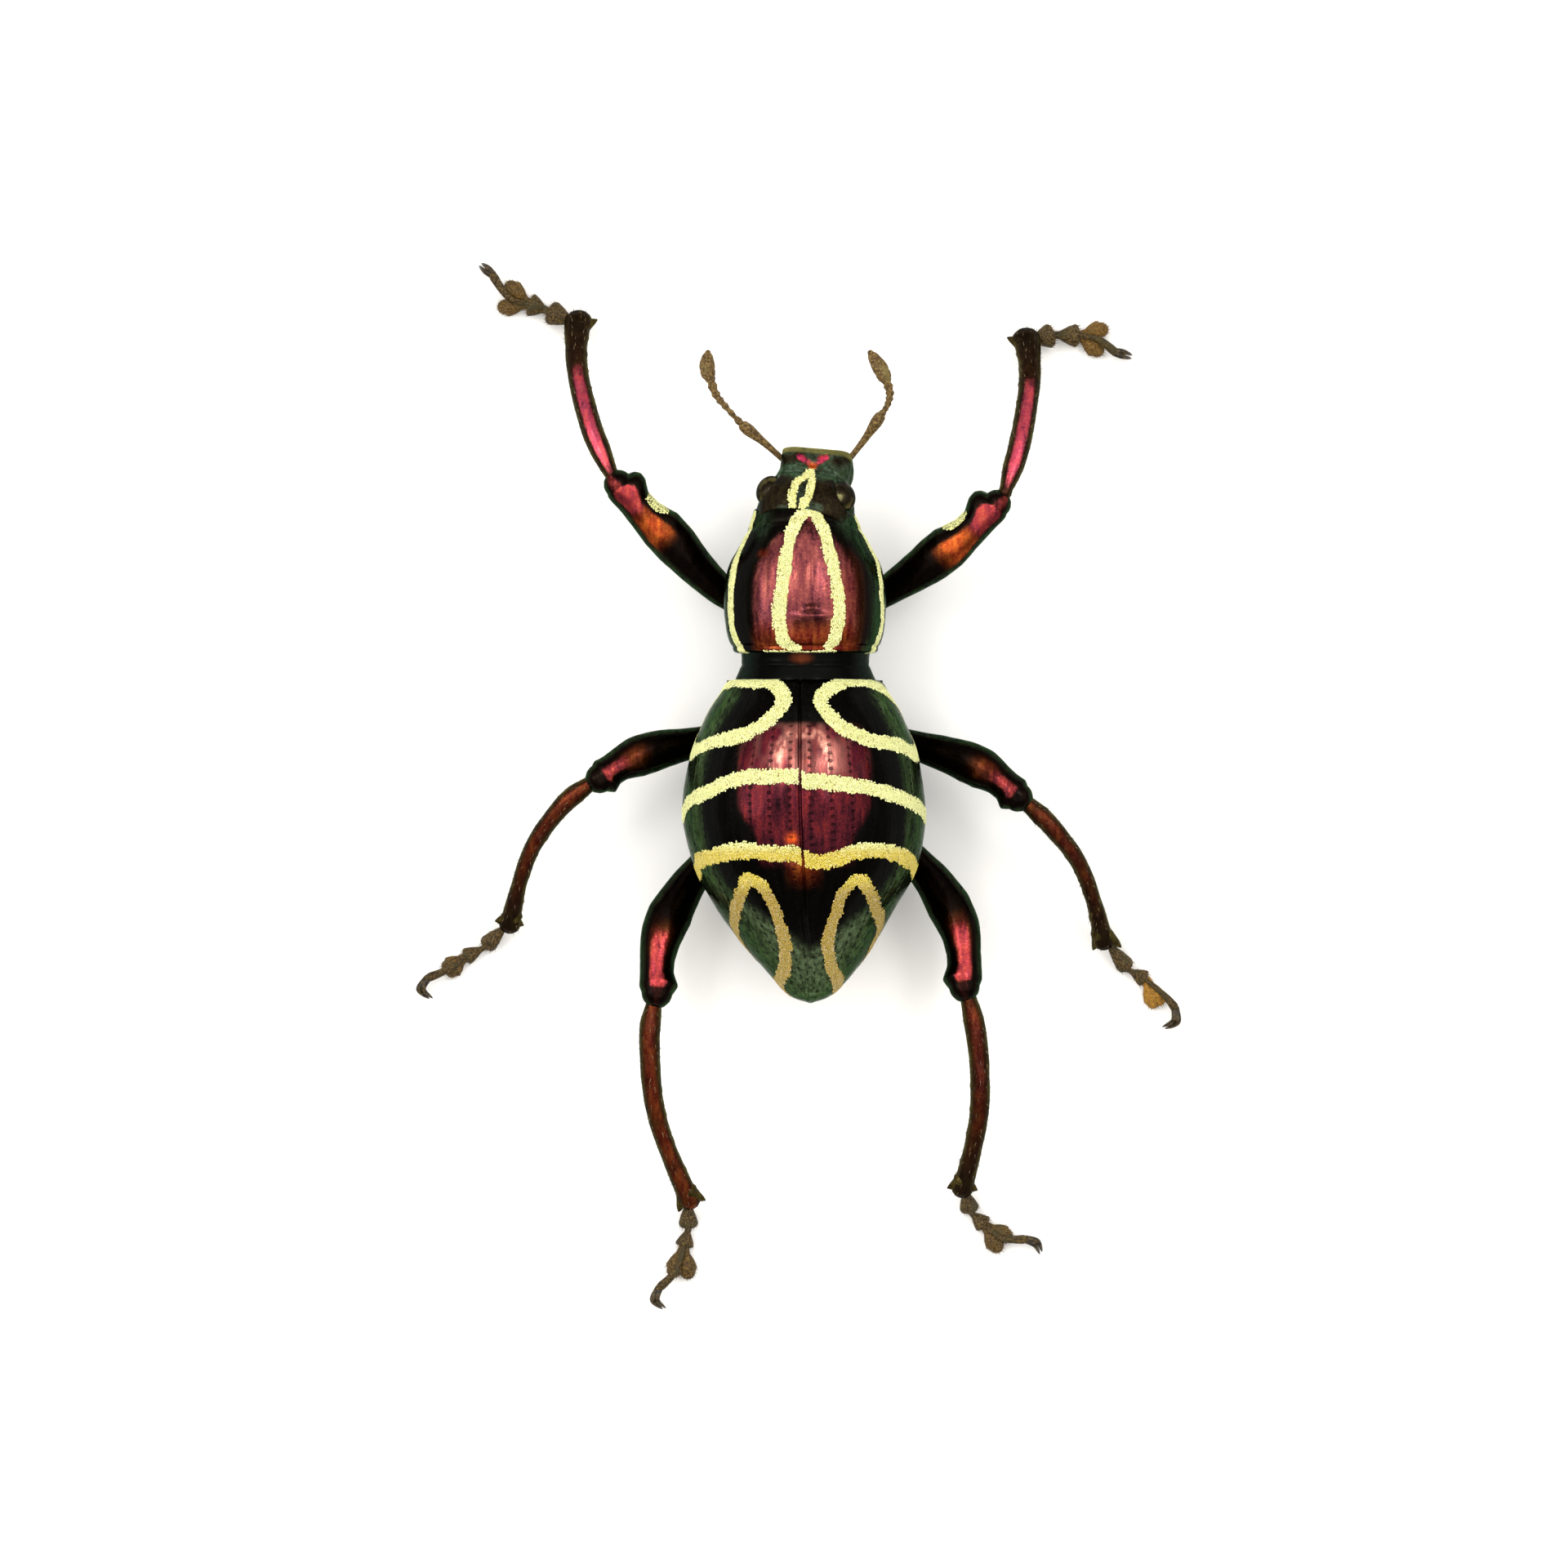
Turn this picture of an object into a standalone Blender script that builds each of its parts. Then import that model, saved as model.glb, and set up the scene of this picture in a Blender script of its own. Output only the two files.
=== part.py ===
"""A weevil, Pachyrhynchus speciosus, life size, standing as a set museum specimen.

Units are metres in the scene. Sizes below are written in millimetres and scaled by MM.
The head points to +Y, the back to +Z, and the animal's right side to +X.
The six feet stand on the plane z = 0.
"""
import math

import bmesh
import bpy
from mathutils import Matrix, Vector

# driving sizes, in millimetres
MM = 0.001
JOINT_GAP = 0.3
WELD_DISTANCE = 0.0005
ON_PLANE = 0.0005

# the body along Y: where each part of it starts and ends
NECK_Y = 7.75
PRONOTUM_REAR_Y = 3.77
TRUNK_FRONT_Y = 3.18
MESOTHORAX_REAR_Y = 0.70
METATHORAX_REAR_Y = -1.75

# flats on the underside, which the coxae face
PROSTERNUM_Z = 1.95
STERNUM_Z = 1.62

# the lower margin of the elytra: its height at y = 0 and its fall towards the rear
MARGIN_Z = 2.95
MARGIN_SLOPE = 0.03

# the head is bent down, turned a little to the animal's right and rolled to its left
HEAD_ORIGIN = (0.17, NECK_Y, 3.95)
HEAD_YAW = -5.0
HEAD_ROLL = -9.0
HEAD_PITCH = -34.0
NECK_PITCH = -12.0
ROSTRUM_START = 1.02

# how square the head's sections are: 1 is a plain oval, less is squarer
HEAD_SQUARENESS = 0.7

# how finely the turned bodies and the limbs are divided
BODY_SIDES = 40
PRONOTUM_SIDES = 34
HEAD_SIDES = 26
COLLAR_SIDES = 34
STEPS_BETWEEN_STATIONS = 2
LEG_BEVEL = 3
FOOT_BEVEL = 2
CLAW_BEVEL = 1
FEMUR_STEPS = 13
TIBIA_STEPS = 10
SPUR_STEPS = 2
SCAPE_STEPS = 4
FUNICLE_STEPS = 7
CLUB_STEPS = 5
PAD_STEPS = 3
STALK_STEPS = 5
CLAW_STEPS = 4
SHARP_ANGLE = 40.0

# a limb's rounded ends: how far along the end's radius each of their two rings lies
LIMB_END_SHARES = (0.55, 0.9)

# cross sections of the body, front to rear:
# distance along the body, centre x, half width, top, widest level, bottom
TRUNK_STATIONS = (
    (3.18, 0.15, 2.28, 6.05, 3.80, 2.10),
    (2.75, 0.15, 2.40, 6.30, 3.78, 1.90),
    (2.05, 0.14, 2.82, 6.68, 3.75, 1.68),
    (1.00, 0.13, 3.26, 7.05, 3.72, 1.55),
    (-0.20, 0.12, 3.49, 7.25, 3.70, 1.50),
    (-1.20, 0.14, 3.49, 7.25, 3.68, 1.50),
    (-2.45, 0.18, 3.19, 7.00, 3.60, 1.55),
    (-3.60, 0.18, 2.56, 6.42, 3.45, 1.70),
    (-4.60, 0.26, 1.90, 5.58, 3.25, 1.92),
    (-5.45, 0.32, 1.24, 4.58, 3.05, 2.12),
    (-6.02, 0.31, 0.70, 3.75, 2.90, 2.32),
    (-6.28, 0.31, 0.26, 3.20, 2.82, 2.52),
)
PRONOTUM_STATIONS = (
    (8.30, 0.12, 1.36, 5.16, 3.92, 2.74),
    (7.92, 0.12, 1.46, 5.32, 3.91, 2.62),
    (7.50, 0.14, 1.62, 5.52, 3.88, 2.42),
    (7.00, 0.15, 1.86, 5.72, 3.86, 2.20),
    (6.40, 0.15, 2.18, 5.90, 3.85, 1.98),
    (5.70, 0.15, 2.33, 6.02, 3.85, 1.84),
    (4.95, 0.16, 2.34, 6.04, 3.85, 1.80),
    (4.30, 0.17, 2.24, 5.96, 3.85, 1.84),
    (3.77, 0.18, 2.03, 5.78, 3.83, 1.98),
)
COLLAR_STATIONS = (
    (3.77, 0.17, 1.98, 5.70, 3.82, 2.08),
    (3.18, 0.16, 2.06, 5.74, 3.80, 2.10),
)
# the head along its own axis, from the neck to the front edge of the rostrum
HEAD_STATIONS = (
    (-0.60, 0.0, 1.30, 1.24, 0.0, -1.16),
    (0.00, 0.0, 1.40, 1.34, 0.0, -1.22),
    (0.50, 0.0, 1.36, 1.26, 0.0, -1.20),
    (0.85, 0.02, 1.20, 1.08, 0.0, -1.12),
    (1.15, 0.03, 1.06, 0.94, 0.0, -1.00),
    (1.50, 0.05, 1.02, 0.80, 0.0, -0.90),
    (1.92, 0.06, 1.04, 0.66, 0.0, -0.80),
    (2.10, 0.06, 1.00, 0.54, 0.0, -0.66),
)

# eyes, in the head's own frame: a low dome on each side of the head
EYE_CENTRE = (0.40, -0.06)
EYE_RADIUS = 0.42
EYE_FLAT = 1.08
EYE_GAP = 0.2
EYE_HEIGHT = 0.21
EYE_TILT = 18.0
EYE_SWEEP = 4.0

# the jaws, two blunt lobes under the front edge of the rostrum
JAW_CENTRE = (0.27, 2.08, -0.36)
JAW_SIZE = (0.30, 0.24, 0.26)

# antennae: elbowed feelers, one row of points for each piece
ANTENNA_RADIUS = 0.25
CLUB_RADIUS = 0.27
SCAPE_CHAMFER = 0.08
FEELER_OVERRUN = 0.1
SCAPE_OVERRUN = 0.3
EVEN_PROFILE = ((0.0, 1.0), (1.0, 1.0))
CLUB_PROFILE = ((0.0, 0.80), (0.45, 1.0), (1.0, 0.45))
ANTENNAE = {
    "left": {
        "scape": ((-0.42, 9.44, 2.92), (-1.00, 9.93, 3.12), (-1.60, 10.41, 3.30)),
        "funicle": ((-1.60, 10.41, 3.30), (-2.10, 10.94, 3.36), (-2.45, 11.38, 3.28), (-2.60, 11.90, 3.14)),
        "club": ((-2.60, 11.90, 3.14), (-2.64, 12.20, 3.06), (-2.64, 12.50, 2.98)),
    },
    "right": {
        "scape": ((1.44, 9.48, 2.92), (1.90, 10.06, 3.12), (2.32, 10.68, 3.30)),
        "funicle": ((2.32, 10.68, 3.30), (2.52, 10.98, 3.34), (2.62, 11.38, 3.28), (2.49, 11.80, 3.16)),
        "club": ((2.49, 11.80, 3.16), (2.33, 12.10, 3.08), (2.06, 12.54, 2.98)),
    },
}

# thickness along a limb, as (share of its length, radius)
FEMUR_PROFILE = (
    (0.0, 0.28), (0.30, 0.42), (0.50, 0.55), (0.66, 0.63), (0.81, 0.51), (0.92, 0.58), (1.0, 0.54),
)
TIBIA_PROFILE = ((0.0, 0.30), (0.15, 0.30), (0.35, 0.33), (0.65, 0.30), (0.88, 0.32), (1.0, 0.42))
FEMUR_THICKNESS = {"front": 1.0, "mid": 0.92, "hind": 0.94}
TIBIA_THICKNESS = {"front": 1.0, "mid": 0.84, "hind": 0.90}
FOOT_THICKNESS = {"front": 1.0, "mid": 0.74, "hind": 0.80}
COXA_SIZE = (0.56, 0.56, 0.46)
COXA_Z = {"front": 1.42, "mid": 1.10, "hind": 1.10}
COXA_TOP = {"front": PROSTERNUM_Z, "mid": STERNUM_Z, "hind": STERNUM_Z}
COXA_REACH = 0.44
LIMB_OVERRUN = 0.3
ANKLE_OVERRUN = 0.25

# the foot: heights above the floor, and thicknesses as (share of the piece's length, radius)
ANKLE_Z = 0.56
ANKLE_DROP = 0.12
FIRST_JOINT_Z = 0.34
SECOND_JOINT_SHARE = 0.9
STALK_Z = 0.42
CLAW_MIDDLE_Z = 0.38
CLAW_TIP_Z = 0.13
WEDGE_PROFILE = ((0.0, 0.24), (0.75, 0.36), (1.0, 0.33))
LOBE_PROFILE = ((0.0, 0.9), (0.6, 1.0), (1.0, 0.95))
STALK_PROFILE = ((0.0, 0.22), (1.0, 0.23))
CLAW_PROFILE = ((0.0, 0.15), (0.6, 0.12), (1.0, 0.05))
LOBE_RADIUS = 0.25
LOBE_ROOT_SPREAD = 0.08
LOBE_REACH = 0.06
LOBE_SPREAD = {"front": 0.30, "mid": 0.15, "hind": 0.20}
PAD_SINK = 0.04
CLAW_SPREAD = 0.11
CLAW_TIP_SPREAD = 0.09

# the hooked spur at the inner corner of each tibia's end
SPUR_ROOT = 0.22
SPUR_REACH = {"front": 0.57, "mid": 0.42, "hind": 0.46}
SPUR_PROFILE = ((0.0, 0.20), (1.0, 0.07))

# the pose: the middle lines of each leg's pieces, hip to knee, knee to ankle, and the foot's own joints
LEGS = {
    "front_left": {
        "femur": ((-0.62, 4.75, 1.28), (-2.27, 5.68, 1.85), (-3.92, 7.33, 2.62), (-5.28, 8.74, 3.05)),
        "tibia": ((-5.46, 9.02, 3.05), (-6.04, 10.38, 2.55), (-6.47, 12.10, 1.62), (-6.55, 13.42, 0.85)),
        "foot": ((-7.12, 13.78), (-7.82, 14.05), (-8.46, 14.26), (-8.98, 14.94), (-9.33, 15.24)),
    },
    "front_right": {
        "femur": ((0.95, 4.75, 1.28), (2.56, 5.67, 1.85), (4.24, 6.82, 2.62), (5.74, 8.17, 3.05)),
        "tibia": ((6.04, 8.62, 3.05), (6.40, 9.93, 2.55), (6.71, 11.71, 1.58), (6.72, 12.92, 0.85)),
        "foot": ((7.25, 13.02), (7.90, 13.04), (8.66, 13.02), (9.20, 12.66), (9.72, 12.54)),
    },
    "mid_left": {
        "femur": ((-0.92, 1.82, 1.02), (-2.87, 1.30, 1.72), (-4.62, 0.90, 2.60), (-5.80, 0.22, 3.00)),
        "tibia": ((-5.98, 0.12, 3.00), (-6.90, -0.60, 2.60), (-7.87, -1.99, 1.75), (-8.50, -3.98, 0.82)),
        "foot": ((-9.08, -4.62), (-9.65, -4.95), (-10.14, -5.31), (-10.88, -5.62), (-10.92, -6.16)),
    },
    "mid_right": {
        "femur": ((1.21, 1.82, 1.02), (3.39, 1.17, 1.72), (5.19, 0.57, 2.60), (6.36, -0.32, 3.00)),
        "tibia": ((6.52, -0.44, 3.00), (7.32, -1.19, 2.60), (8.26, -2.49, 1.80), (8.93, -4.46, 0.82)),
        "foot": ((9.34, -5.12), (9.74, -5.45), (10.27, -5.93), (10.91, -6.50), (10.76, -7.02)),
    },
    "hind_left": {
        "femur": ((-1.04, -0.55, 1.02), (-2.90, -2.42, 1.50), (-3.98, -4.22, 2.45), (-4.16, -6.02, 3.08)),
        "tibia": ((-4.20, -6.22, 3.08), (-4.36, -7.50, 2.70), (-4.14, -9.70, 1.85), (-3.26, -12.03, 0.85)),
        "foot": ((-3.25, -12.75), (-3.37, -13.35), (-3.44, -14.05), (-4.05, -14.74), (-3.96, -15.29)),
    },
    "hind_right": {
        "femur": ((1.33, -0.55, 1.02), (3.31, -2.11, 1.50), (4.60, -3.98, 2.45), (4.80, -5.84, 3.08)),
        "tibia": ((4.86, -6.06, 3.08), (5.16, -7.40, 2.70), (5.24, -9.50, 1.85), (4.81, -11.68, 0.85)),
        "foot": ((4.98, -12.42), (5.36, -12.80), (5.91, -13.28), (6.62, -13.26), (7.06, -13.66)),
    },
}

# colours, roughness and metallic value of each kind of piece
FINISHES = {
    "elytra": ((0.10, 0.02, 0.05), 0.30, 0.7),
    "pronotum": ((0.13, 0.03, 0.07), 0.28, 0.7),
    "head": ((0.03, 0.06, 0.045), 0.35, 0.6),
    "collar": ((0.01, 0.01, 0.01), 0.40, 0.3),
    "underside": ((0.03, 0.05, 0.035), 0.40, 0.5),
    "eye": ((0.008, 0.008, 0.010), 0.20, 0.0),
    "feeler": ((0.16, 0.11, 0.07), 0.55, 0.0),
    "leg": ((0.045, 0.02, 0.02), 0.32, 0.5),
    "foot": ((0.11, 0.09, 0.06), 0.60, 0.0),
}


def clear_scene():
    for obj in list(bpy.data.objects):
        bpy.data.objects.remove(obj, do_unlink=True)


def collection_named(name):
    made = bpy.data.collections.new(name)
    bpy.context.scene.collection.children.link(made)
    return made


def finish(name):
    """The Principled material of one kind of piece."""
    colour, roughness, metallic = FINISHES[name]
    material = bpy.data.materials.get(name)
    if material is None:
        material = bpy.data.materials.new(name)
        material.use_nodes = True
        shader = material.node_tree.nodes["Principled BSDF"]
        shader.inputs["Base Color"].default_value = (*colour, 1.0)
        shader.inputs["Roughness"].default_value = roughness
        shader.inputs["Metallic"].default_value = metallic
    return material


def object_from(name, bm):
    """A mesh object in metres from a bmesh in millimetres."""
    bmesh.ops.recalc_face_normals(bm, faces=bm.faces)
    bmesh.ops.scale(bm, vec=(MM, MM, MM), verts=bm.verts)
    mesh = bpy.data.meshes.new(name)
    bm.to_mesh(mesh)
    bm.free()
    obj = bpy.data.objects.new(name, mesh)
    bpy.context.scene.collection.objects.link(obj)
    return obj


def smooth_between(rows, position):
    """A Catmull-Rom curve through equally long rows of numbers, read at a row position."""
    last = len(rows) - 1
    start = min(int(position), last - 1)
    t = position - start
    before = rows[max(start - 1, 0)]
    here = rows[start]
    after = rows[start + 1]
    beyond = rows[min(start + 2, last)]
    values = []
    for a, b, c, d in zip(before, here, after, beyond):
        cubic = (3 * b - a - 3 * c + d) * t ** 3
        square = (2 * a - 5 * b + 4 * c - d) * t ** 2
        values.append(b + 0.5 * (cubic + square + (c - a) * t))
    return values


def squared(value, squareness):
    """A sine or cosine, pushed outwards where a section is squarer than an oval."""
    return math.copysign(abs(value) ** squareness, value)


def turned_body(name, stations, sides, placed=Matrix.Identity(4), squareness=1.0):
    """A closed body through oval sections, made from a sphere whose rings take the sections' shapes."""
    rings = STEPS_BETWEEN_STATIONS * (len(stations) - 1) + 1
    bm = bmesh.new()
    bmesh.ops.create_uvsphere(bm, u_segments=sides, v_segments=rings + 1, radius=1.0)
    for vert in bm.verts:
        ring = round(math.acos(max(-1.0, min(1.0, vert.co.z))) / math.pi * (rings + 1)) - 1
        at_pole = ring < 0 or ring >= rings
        ring = max(0, min(rings - 1, ring))
        y, x, half_width, top, level, bottom = smooth_between(stations, ring / STEPS_BETWEEN_STATIONS)
        angle = math.atan2(vert.co.y, vert.co.x)
        across = 0.0 if at_pole else squared(math.cos(angle), squareness)
        up = 0.0 if at_pole else squared(math.sin(angle), squareness)
        height = top - level if up > 0 else level - bottom
        vert.co = placed @ Vector((x + half_width * across, y, level + height * up))
    return object_from(name, bm)


def path_point(points, share):
    return Vector(smooth_between(points, share * (len(points) - 1)))


def profile_at(profile, share):
    """The radius at a share of the limb's length, by straight lines between the profile's rows."""
    for (start, first), (end, second) in zip(profile, profile[1:]):
        if share <= end:
            return first + (second - first) * (share - start) / (end - start)
    return profile[-1][1]


def mesh_of_curve(name, curve):
    """The curve's own tube as a closed mesh object, with its end caps welded on."""
    guide = bpy.data.objects.new(name + "_guide", curve)
    bpy.context.scene.collection.objects.link(guide)
    bpy.context.view_layer.update()
    evaluated = guide.evaluated_get(bpy.context.evaluated_depsgraph_get())
    mesh = bpy.data.meshes.new_from_object(evaluated)
    bpy.data.objects.remove(guide)
    bm = bmesh.new()
    bm.from_mesh(mesh)
    bpy.data.meshes.remove(mesh)
    bmesh.ops.remove_doubles(bm, verts=bm.verts, dist=WELD_DISTANCE * MM)
    bmesh.ops.scale(bm, vec=(1 / MM, 1 / MM, 1 / MM), verts=bm.verts)
    return object_from(name, bm)


def limb(name, points, profile, steps, bevel, thickness=1.0, start_over=0.0, end_over=0.0):
    """A tube of changing thickness along a smooth path, run on past either end, with rounded ends."""
    centres = []
    for step in range(steps + 1):
        share = step / steps
        centres.append((path_point(points, share), profile_at(profile, share) * thickness))
    first, first_radius = centres[0]
    last, last_radius = centres[-1]
    start_direction = (first - centres[1][0]).normalized()
    end_direction = (last - centres[-2][0]).normalized()
    for share in LIMB_END_SHARES:
        shrunk = math.sqrt(1 - share ** 2)
        reach = start_over + share * first_radius
        centres.insert(0, (first + start_direction * reach, first_radius * shrunk))
        reach = end_over + share * last_radius
        centres.append((last + end_direction * reach, last_radius * shrunk))
    curve = bpy.data.curves.new(name, "CURVE")
    curve.dimensions = "3D"
    curve.bevel_depth = MM
    curve.bevel_resolution = bevel
    curve.use_fill_caps = True
    spline = curve.splines.new("POLY")
    spline.points.add(len(centres) - 1)
    for point, (centre, radius) in zip(spline.points, centres):
        point.co = (*(centre * MM), 1.0)
        point.radius = radius
    return mesh_of_curve(name, curve)


def dome(name, centre, size, segments=14, rings=8):
    """An egg-shaped lump of three half sizes."""
    bm = bmesh.new()
    bmesh.ops.create_uvsphere(bm, u_segments=segments, v_segments=rings, radius=1.0)
    bmesh.ops.scale(bm, vec=size, verts=bm.verts)
    bmesh.ops.translate(bm, vec=centre, verts=bm.verts)
    return object_from(name, bm)


def keep_below(obj, point, normal):
    """Cuts the object flat by a plane and keeps the side that the normal points away from."""
    bm = bmesh.new()
    bm.from_mesh(obj.data)
    cut = bmesh.ops.bisect_plane(
        bm,
        geom=list(bm.verts) + list(bm.edges) + list(bm.faces),
        dist=ON_PLANE * MM,
        plane_co=Vector(point) * MM,
        plane_no=Vector(normal),
        clear_outer=True,
    )
    rim = [piece for piece in cut["geom_cut"] if isinstance(piece, bmesh.types.BMEdge)]
    facing = Vector(normal).normalized()
    for vert in bm.verts:
        off_plane = (vert.co - Vector(point) * MM).dot(facing)
        if abs(off_plane) <= ON_PLANE * MM:
            vert.co -= facing * off_plane
    bmesh.ops.triangle_fill(bm, use_beauty=True, edges=rim)
    bmesh.ops.remove_doubles(bm, verts=bm.verts, dist=WELD_DISTANCE * MM)
    bmesh.ops.recalc_face_normals(bm, faces=bm.faces)
    bm.to_mesh(obj.data)
    bm.free()
    return obj


def part_at(before, after, point, normal):
    """Two pieces meet face to face at a plane, with the joint gap between them."""
    point = Vector(point)
    normal = Vector(normal).normalized()
    half_gap = normal * (JOINT_GAP / 2)
    keep_below(before, point - half_gap, normal)
    keep_below(after, point + half_gap, -normal)


def copy_of(obj, name):
    twin = bpy.data.objects.new(name, obj.data.copy())
    bpy.context.scene.collection.objects.link(twin)
    return twin


def keep_largest(obj):
    """Keeps the largest closed surface of a mesh."""
    bm = bmesh.new()
    bm.from_mesh(obj.data)
    unseen = set(bm.verts)
    groups = []
    while unseen:
        edge_of_search = [unseen.pop()]
        group = set(edge_of_search)
        while edge_of_search:
            vert = edge_of_search.pop()
            for edge in vert.link_edges:
                other = edge.other_vert(vert)
                if other not in group:
                    group.add(other)
                    edge_of_search.append(other)
        unseen -= group
        groups.append(group)
    groups.sort(key=len)
    for group in groups[:-1]:
        bmesh.ops.delete(bm, geom=list(group), context="VERTS")
    bm.to_mesh(obj.data)
    bm.free()


def fused(name, pieces):
    """One closed body from overlapping pieces."""
    body = pieces[0]
    body.name = name
    if len(pieces) == 1:
        return body
    others = bpy.data.collections.new(name + "_pieces")
    for piece in pieces[1:]:
        others.objects.link(piece)
    join = body.modifiers.new("join", "BOOLEAN")
    join.operation = "UNION"
    join.operand_type = "COLLECTION"
    join.collection = others
    join.solver = "MANIFOLD"
    bpy.context.view_layer.update()
    evaluated = body.evaluated_get(bpy.context.evaluated_depsgraph_get())
    whole = bpy.data.meshes.new_from_object(evaluated)
    body.modifiers.clear()
    body.data = whole
    for piece in pieces[1:]:
        bpy.data.objects.remove(piece)
    bpy.data.collections.remove(others)
    keep_largest(body)
    return body


def settle(obj, name, finish_name, collection):
    """Names the finished piece, gives it its material and puts it with the others."""
    obj.name = name
    obj.data.name = name
    obj.data.materials.clear()
    obj.data.materials.append(finish(finish_name))
    obj.data.shade_smooth()
    obj.data.set_sharp_from_angle(angle=math.radians(SHARP_ANGLE))
    for old in list(obj.users_collection):
        old.objects.unlink(obj)
    collection.objects.link(obj)


def make_trunk(parts):
    """The elytra over the underside, which is parted into mesothorax, metathorax and abdomen."""
    elytra = turned_body("elytra", TRUNK_STATIONS, BODY_SIDES)
    keep_below(elytra, (0, TRUNK_FRONT_Y - JOINT_GAP / 2, 0), (0, 1, 0))
    keep_below(elytra, (0, 0, STERNUM_Z), (0, 0, -1))
    abdomen = copy_of(elytra, "abdomen")
    margin_normal = Vector((0, MARGIN_SLOPE, -1))
    part_at(elytra, abdomen, (0, 0, MARGIN_Z), margin_normal)
    metathorax = copy_of(abdomen, "metathorax")
    part_at(metathorax, abdomen, (0, METATHORAX_REAR_Y, 0), (0, -1, 0))
    mesothorax = copy_of(metathorax, "mesothorax")
    part_at(mesothorax, metathorax, (0, MESOTHORAX_REAR_Y, 0), (0, -1, 0))
    settle(elytra, "elytra", "elytra", parts)
    for piece in (mesothorax, metathorax, abdomen):
        settle(piece, piece.name, "underside", parts)


def make_front_body(parts):
    """The pronotum and the narrow collar behind it."""
    pronotum = turned_body("pronotum", PRONOTUM_STATIONS, PRONOTUM_SIDES)
    collar = turned_body("collar", COLLAR_STATIONS, COLLAR_SIDES)
    keep_below(pronotum, (0, 0, PROSTERNUM_Z), (0, 0, -1))
    part_at(pronotum, collar, (0, PRONOTUM_REAR_Y, 0), (0, -1, 0))
    keep_below(collar, (0, TRUNK_FRONT_Y + JOINT_GAP / 2, 0), (0, -1, 0))
    forward = neck_direction()
    keep_below(pronotum, Vector(HEAD_ORIGIN) - forward * (JOINT_GAP / 2), forward)
    settle(pronotum, "pronotum", "pronotum", parts)
    settle(collar, "collar", "collar", parts)


def neck_direction():
    """The way that the plane between pronotum and head faces."""
    return Matrix.Rotation(math.radians(NECK_PITCH), 3, "X") @ Vector((0, 1, 0))


def head_frame():
    turn = Matrix.Rotation(math.radians(HEAD_YAW), 4, "Z")
    roll = Matrix.Rotation(math.radians(HEAD_ROLL), 4, "Y")
    bend = Matrix.Rotation(math.radians(HEAD_PITCH), 4, "X")
    return Matrix.Translation(HEAD_ORIGIN) @ turn @ roll @ bend


def make_head(parts):
    """The head and rostrum are one shell, parted in front of the eyes, with a low dome for each eye."""
    place = head_frame()
    forward = place.to_3x3() @ Vector((0, 1, 0))
    head = turned_body("head", HEAD_STATIONS, HEAD_SIDES, place, HEAD_SQUARENESS)
    neck = neck_direction()
    keep_below(head, Vector(HEAD_ORIGIN) + neck * (JOINT_GAP / 2), -neck)
    rostrum = copy_of(head, "rostrum")
    part_at(head, rostrum, place @ Vector((0, ROSTRUM_START, 0)), forward)
    jaws = []
    for sign in (-1, 1):
        across, along, up = JAW_CENTRE
        jaw = dome("jaw", (0, 0, 0), JAW_SIZE, 12, 8)
        jaw.data.transform(Matrix.Translation((place @ Vector((across * sign, along, up))) * MM))
        jaws.append(jaw)
    rostrum = fused("rostrum", [rostrum] + jaws)
    for side, sign in (("left", -1), ("right", 1)):
        make_eye(side, sign, head, place, parts)
        pieces = ANTENNAE[side]
        scape = make_antenna(side, pieces, parts)
        base = Vector(pieces["scape"][0])
        aim = (Vector(pieces["scape"][1]) - base).normalized()
        corner = max((vert.co / MM).dot(aim) for vert in rostrum.data.vertices)
        reach = corner - SCAPE_CHAMFER + JOINT_GAP / 2 - base.dot(aim)
        part_at(rostrum, scape, base + aim * reach, aim)
    settle(head, "head", "head", parts)
    settle(rostrum, "rostrum", "head", parts)


def make_eye(side, sign, head, place, parts):
    """A low dome over a flat on the side of the head."""
    sweep = math.radians(EYE_SWEEP)
    aim = Vector((sign * math.cos(sweep), math.sin(sweep), math.sin(math.radians(EYE_TILT))))
    aim.normalize()
    along, up = EYE_CENTRE
    seat = place @ (Vector((0, along, up)) + aim * EYE_FLAT)
    outward = place.to_3x3() @ aim
    keep_below(head, seat, outward)
    eye = dome("eye_" + side, (0, 0, 0), (EYE_RADIUS, EYE_RADIUS, EYE_HEIGHT), 18, 10)
    spin = outward.to_track_quat("Z", "Y").to_matrix().to_4x4()
    back = seat + outward * EYE_GAP
    eye.data.transform(Matrix.Translation(back * MM) @ spin)
    keep_below(eye, back, -outward)
    settle(eye, "eye_" + side, "eye", parts)


def make_antenna(side, pieces, parts):
    """Scape, funicle and club, parted where the feeler bends."""
    over = FEELER_OVERRUN
    even = EVEN_PROFILE
    thick = ANTENNA_RADIUS
    scape = limb("scape_" + side, pieces["scape"], even, SCAPE_STEPS, FOOT_BEVEL, thick, SCAPE_OVERRUN, over)
    funicle = limb("funicle_" + side, pieces["funicle"], even, FUNICLE_STEPS, FOOT_BEVEL, thick, over, over)
    club = limb("club_" + side, pieces["club"], CLUB_PROFILE, CLUB_STEPS, FOOT_BEVEL, CLUB_RADIUS, over)
    bend_at(scape, funicle, pieces["scape"], pieces["funicle"])
    bend_at(funicle, club, pieces["funicle"], pieces["club"])
    for piece, name in ((scape, "scape_"), (funicle, "funicle_"), (club, "club_")):
        settle(piece, name + side, "feeler", parts)
    return scape


def bend_at(before, after, path_in, path_out):
    """Parts two limb pieces on the plane that halves the angle between them."""
    inward = (path_point(path_in, 1.0) - path_point(path_in, 0.9)).normalized()
    outward = (path_point(path_out, 0.1) - path_point(path_out, 0.0)).normalized()
    part_at(before, after, path_out[0], inward + outward)


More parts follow.
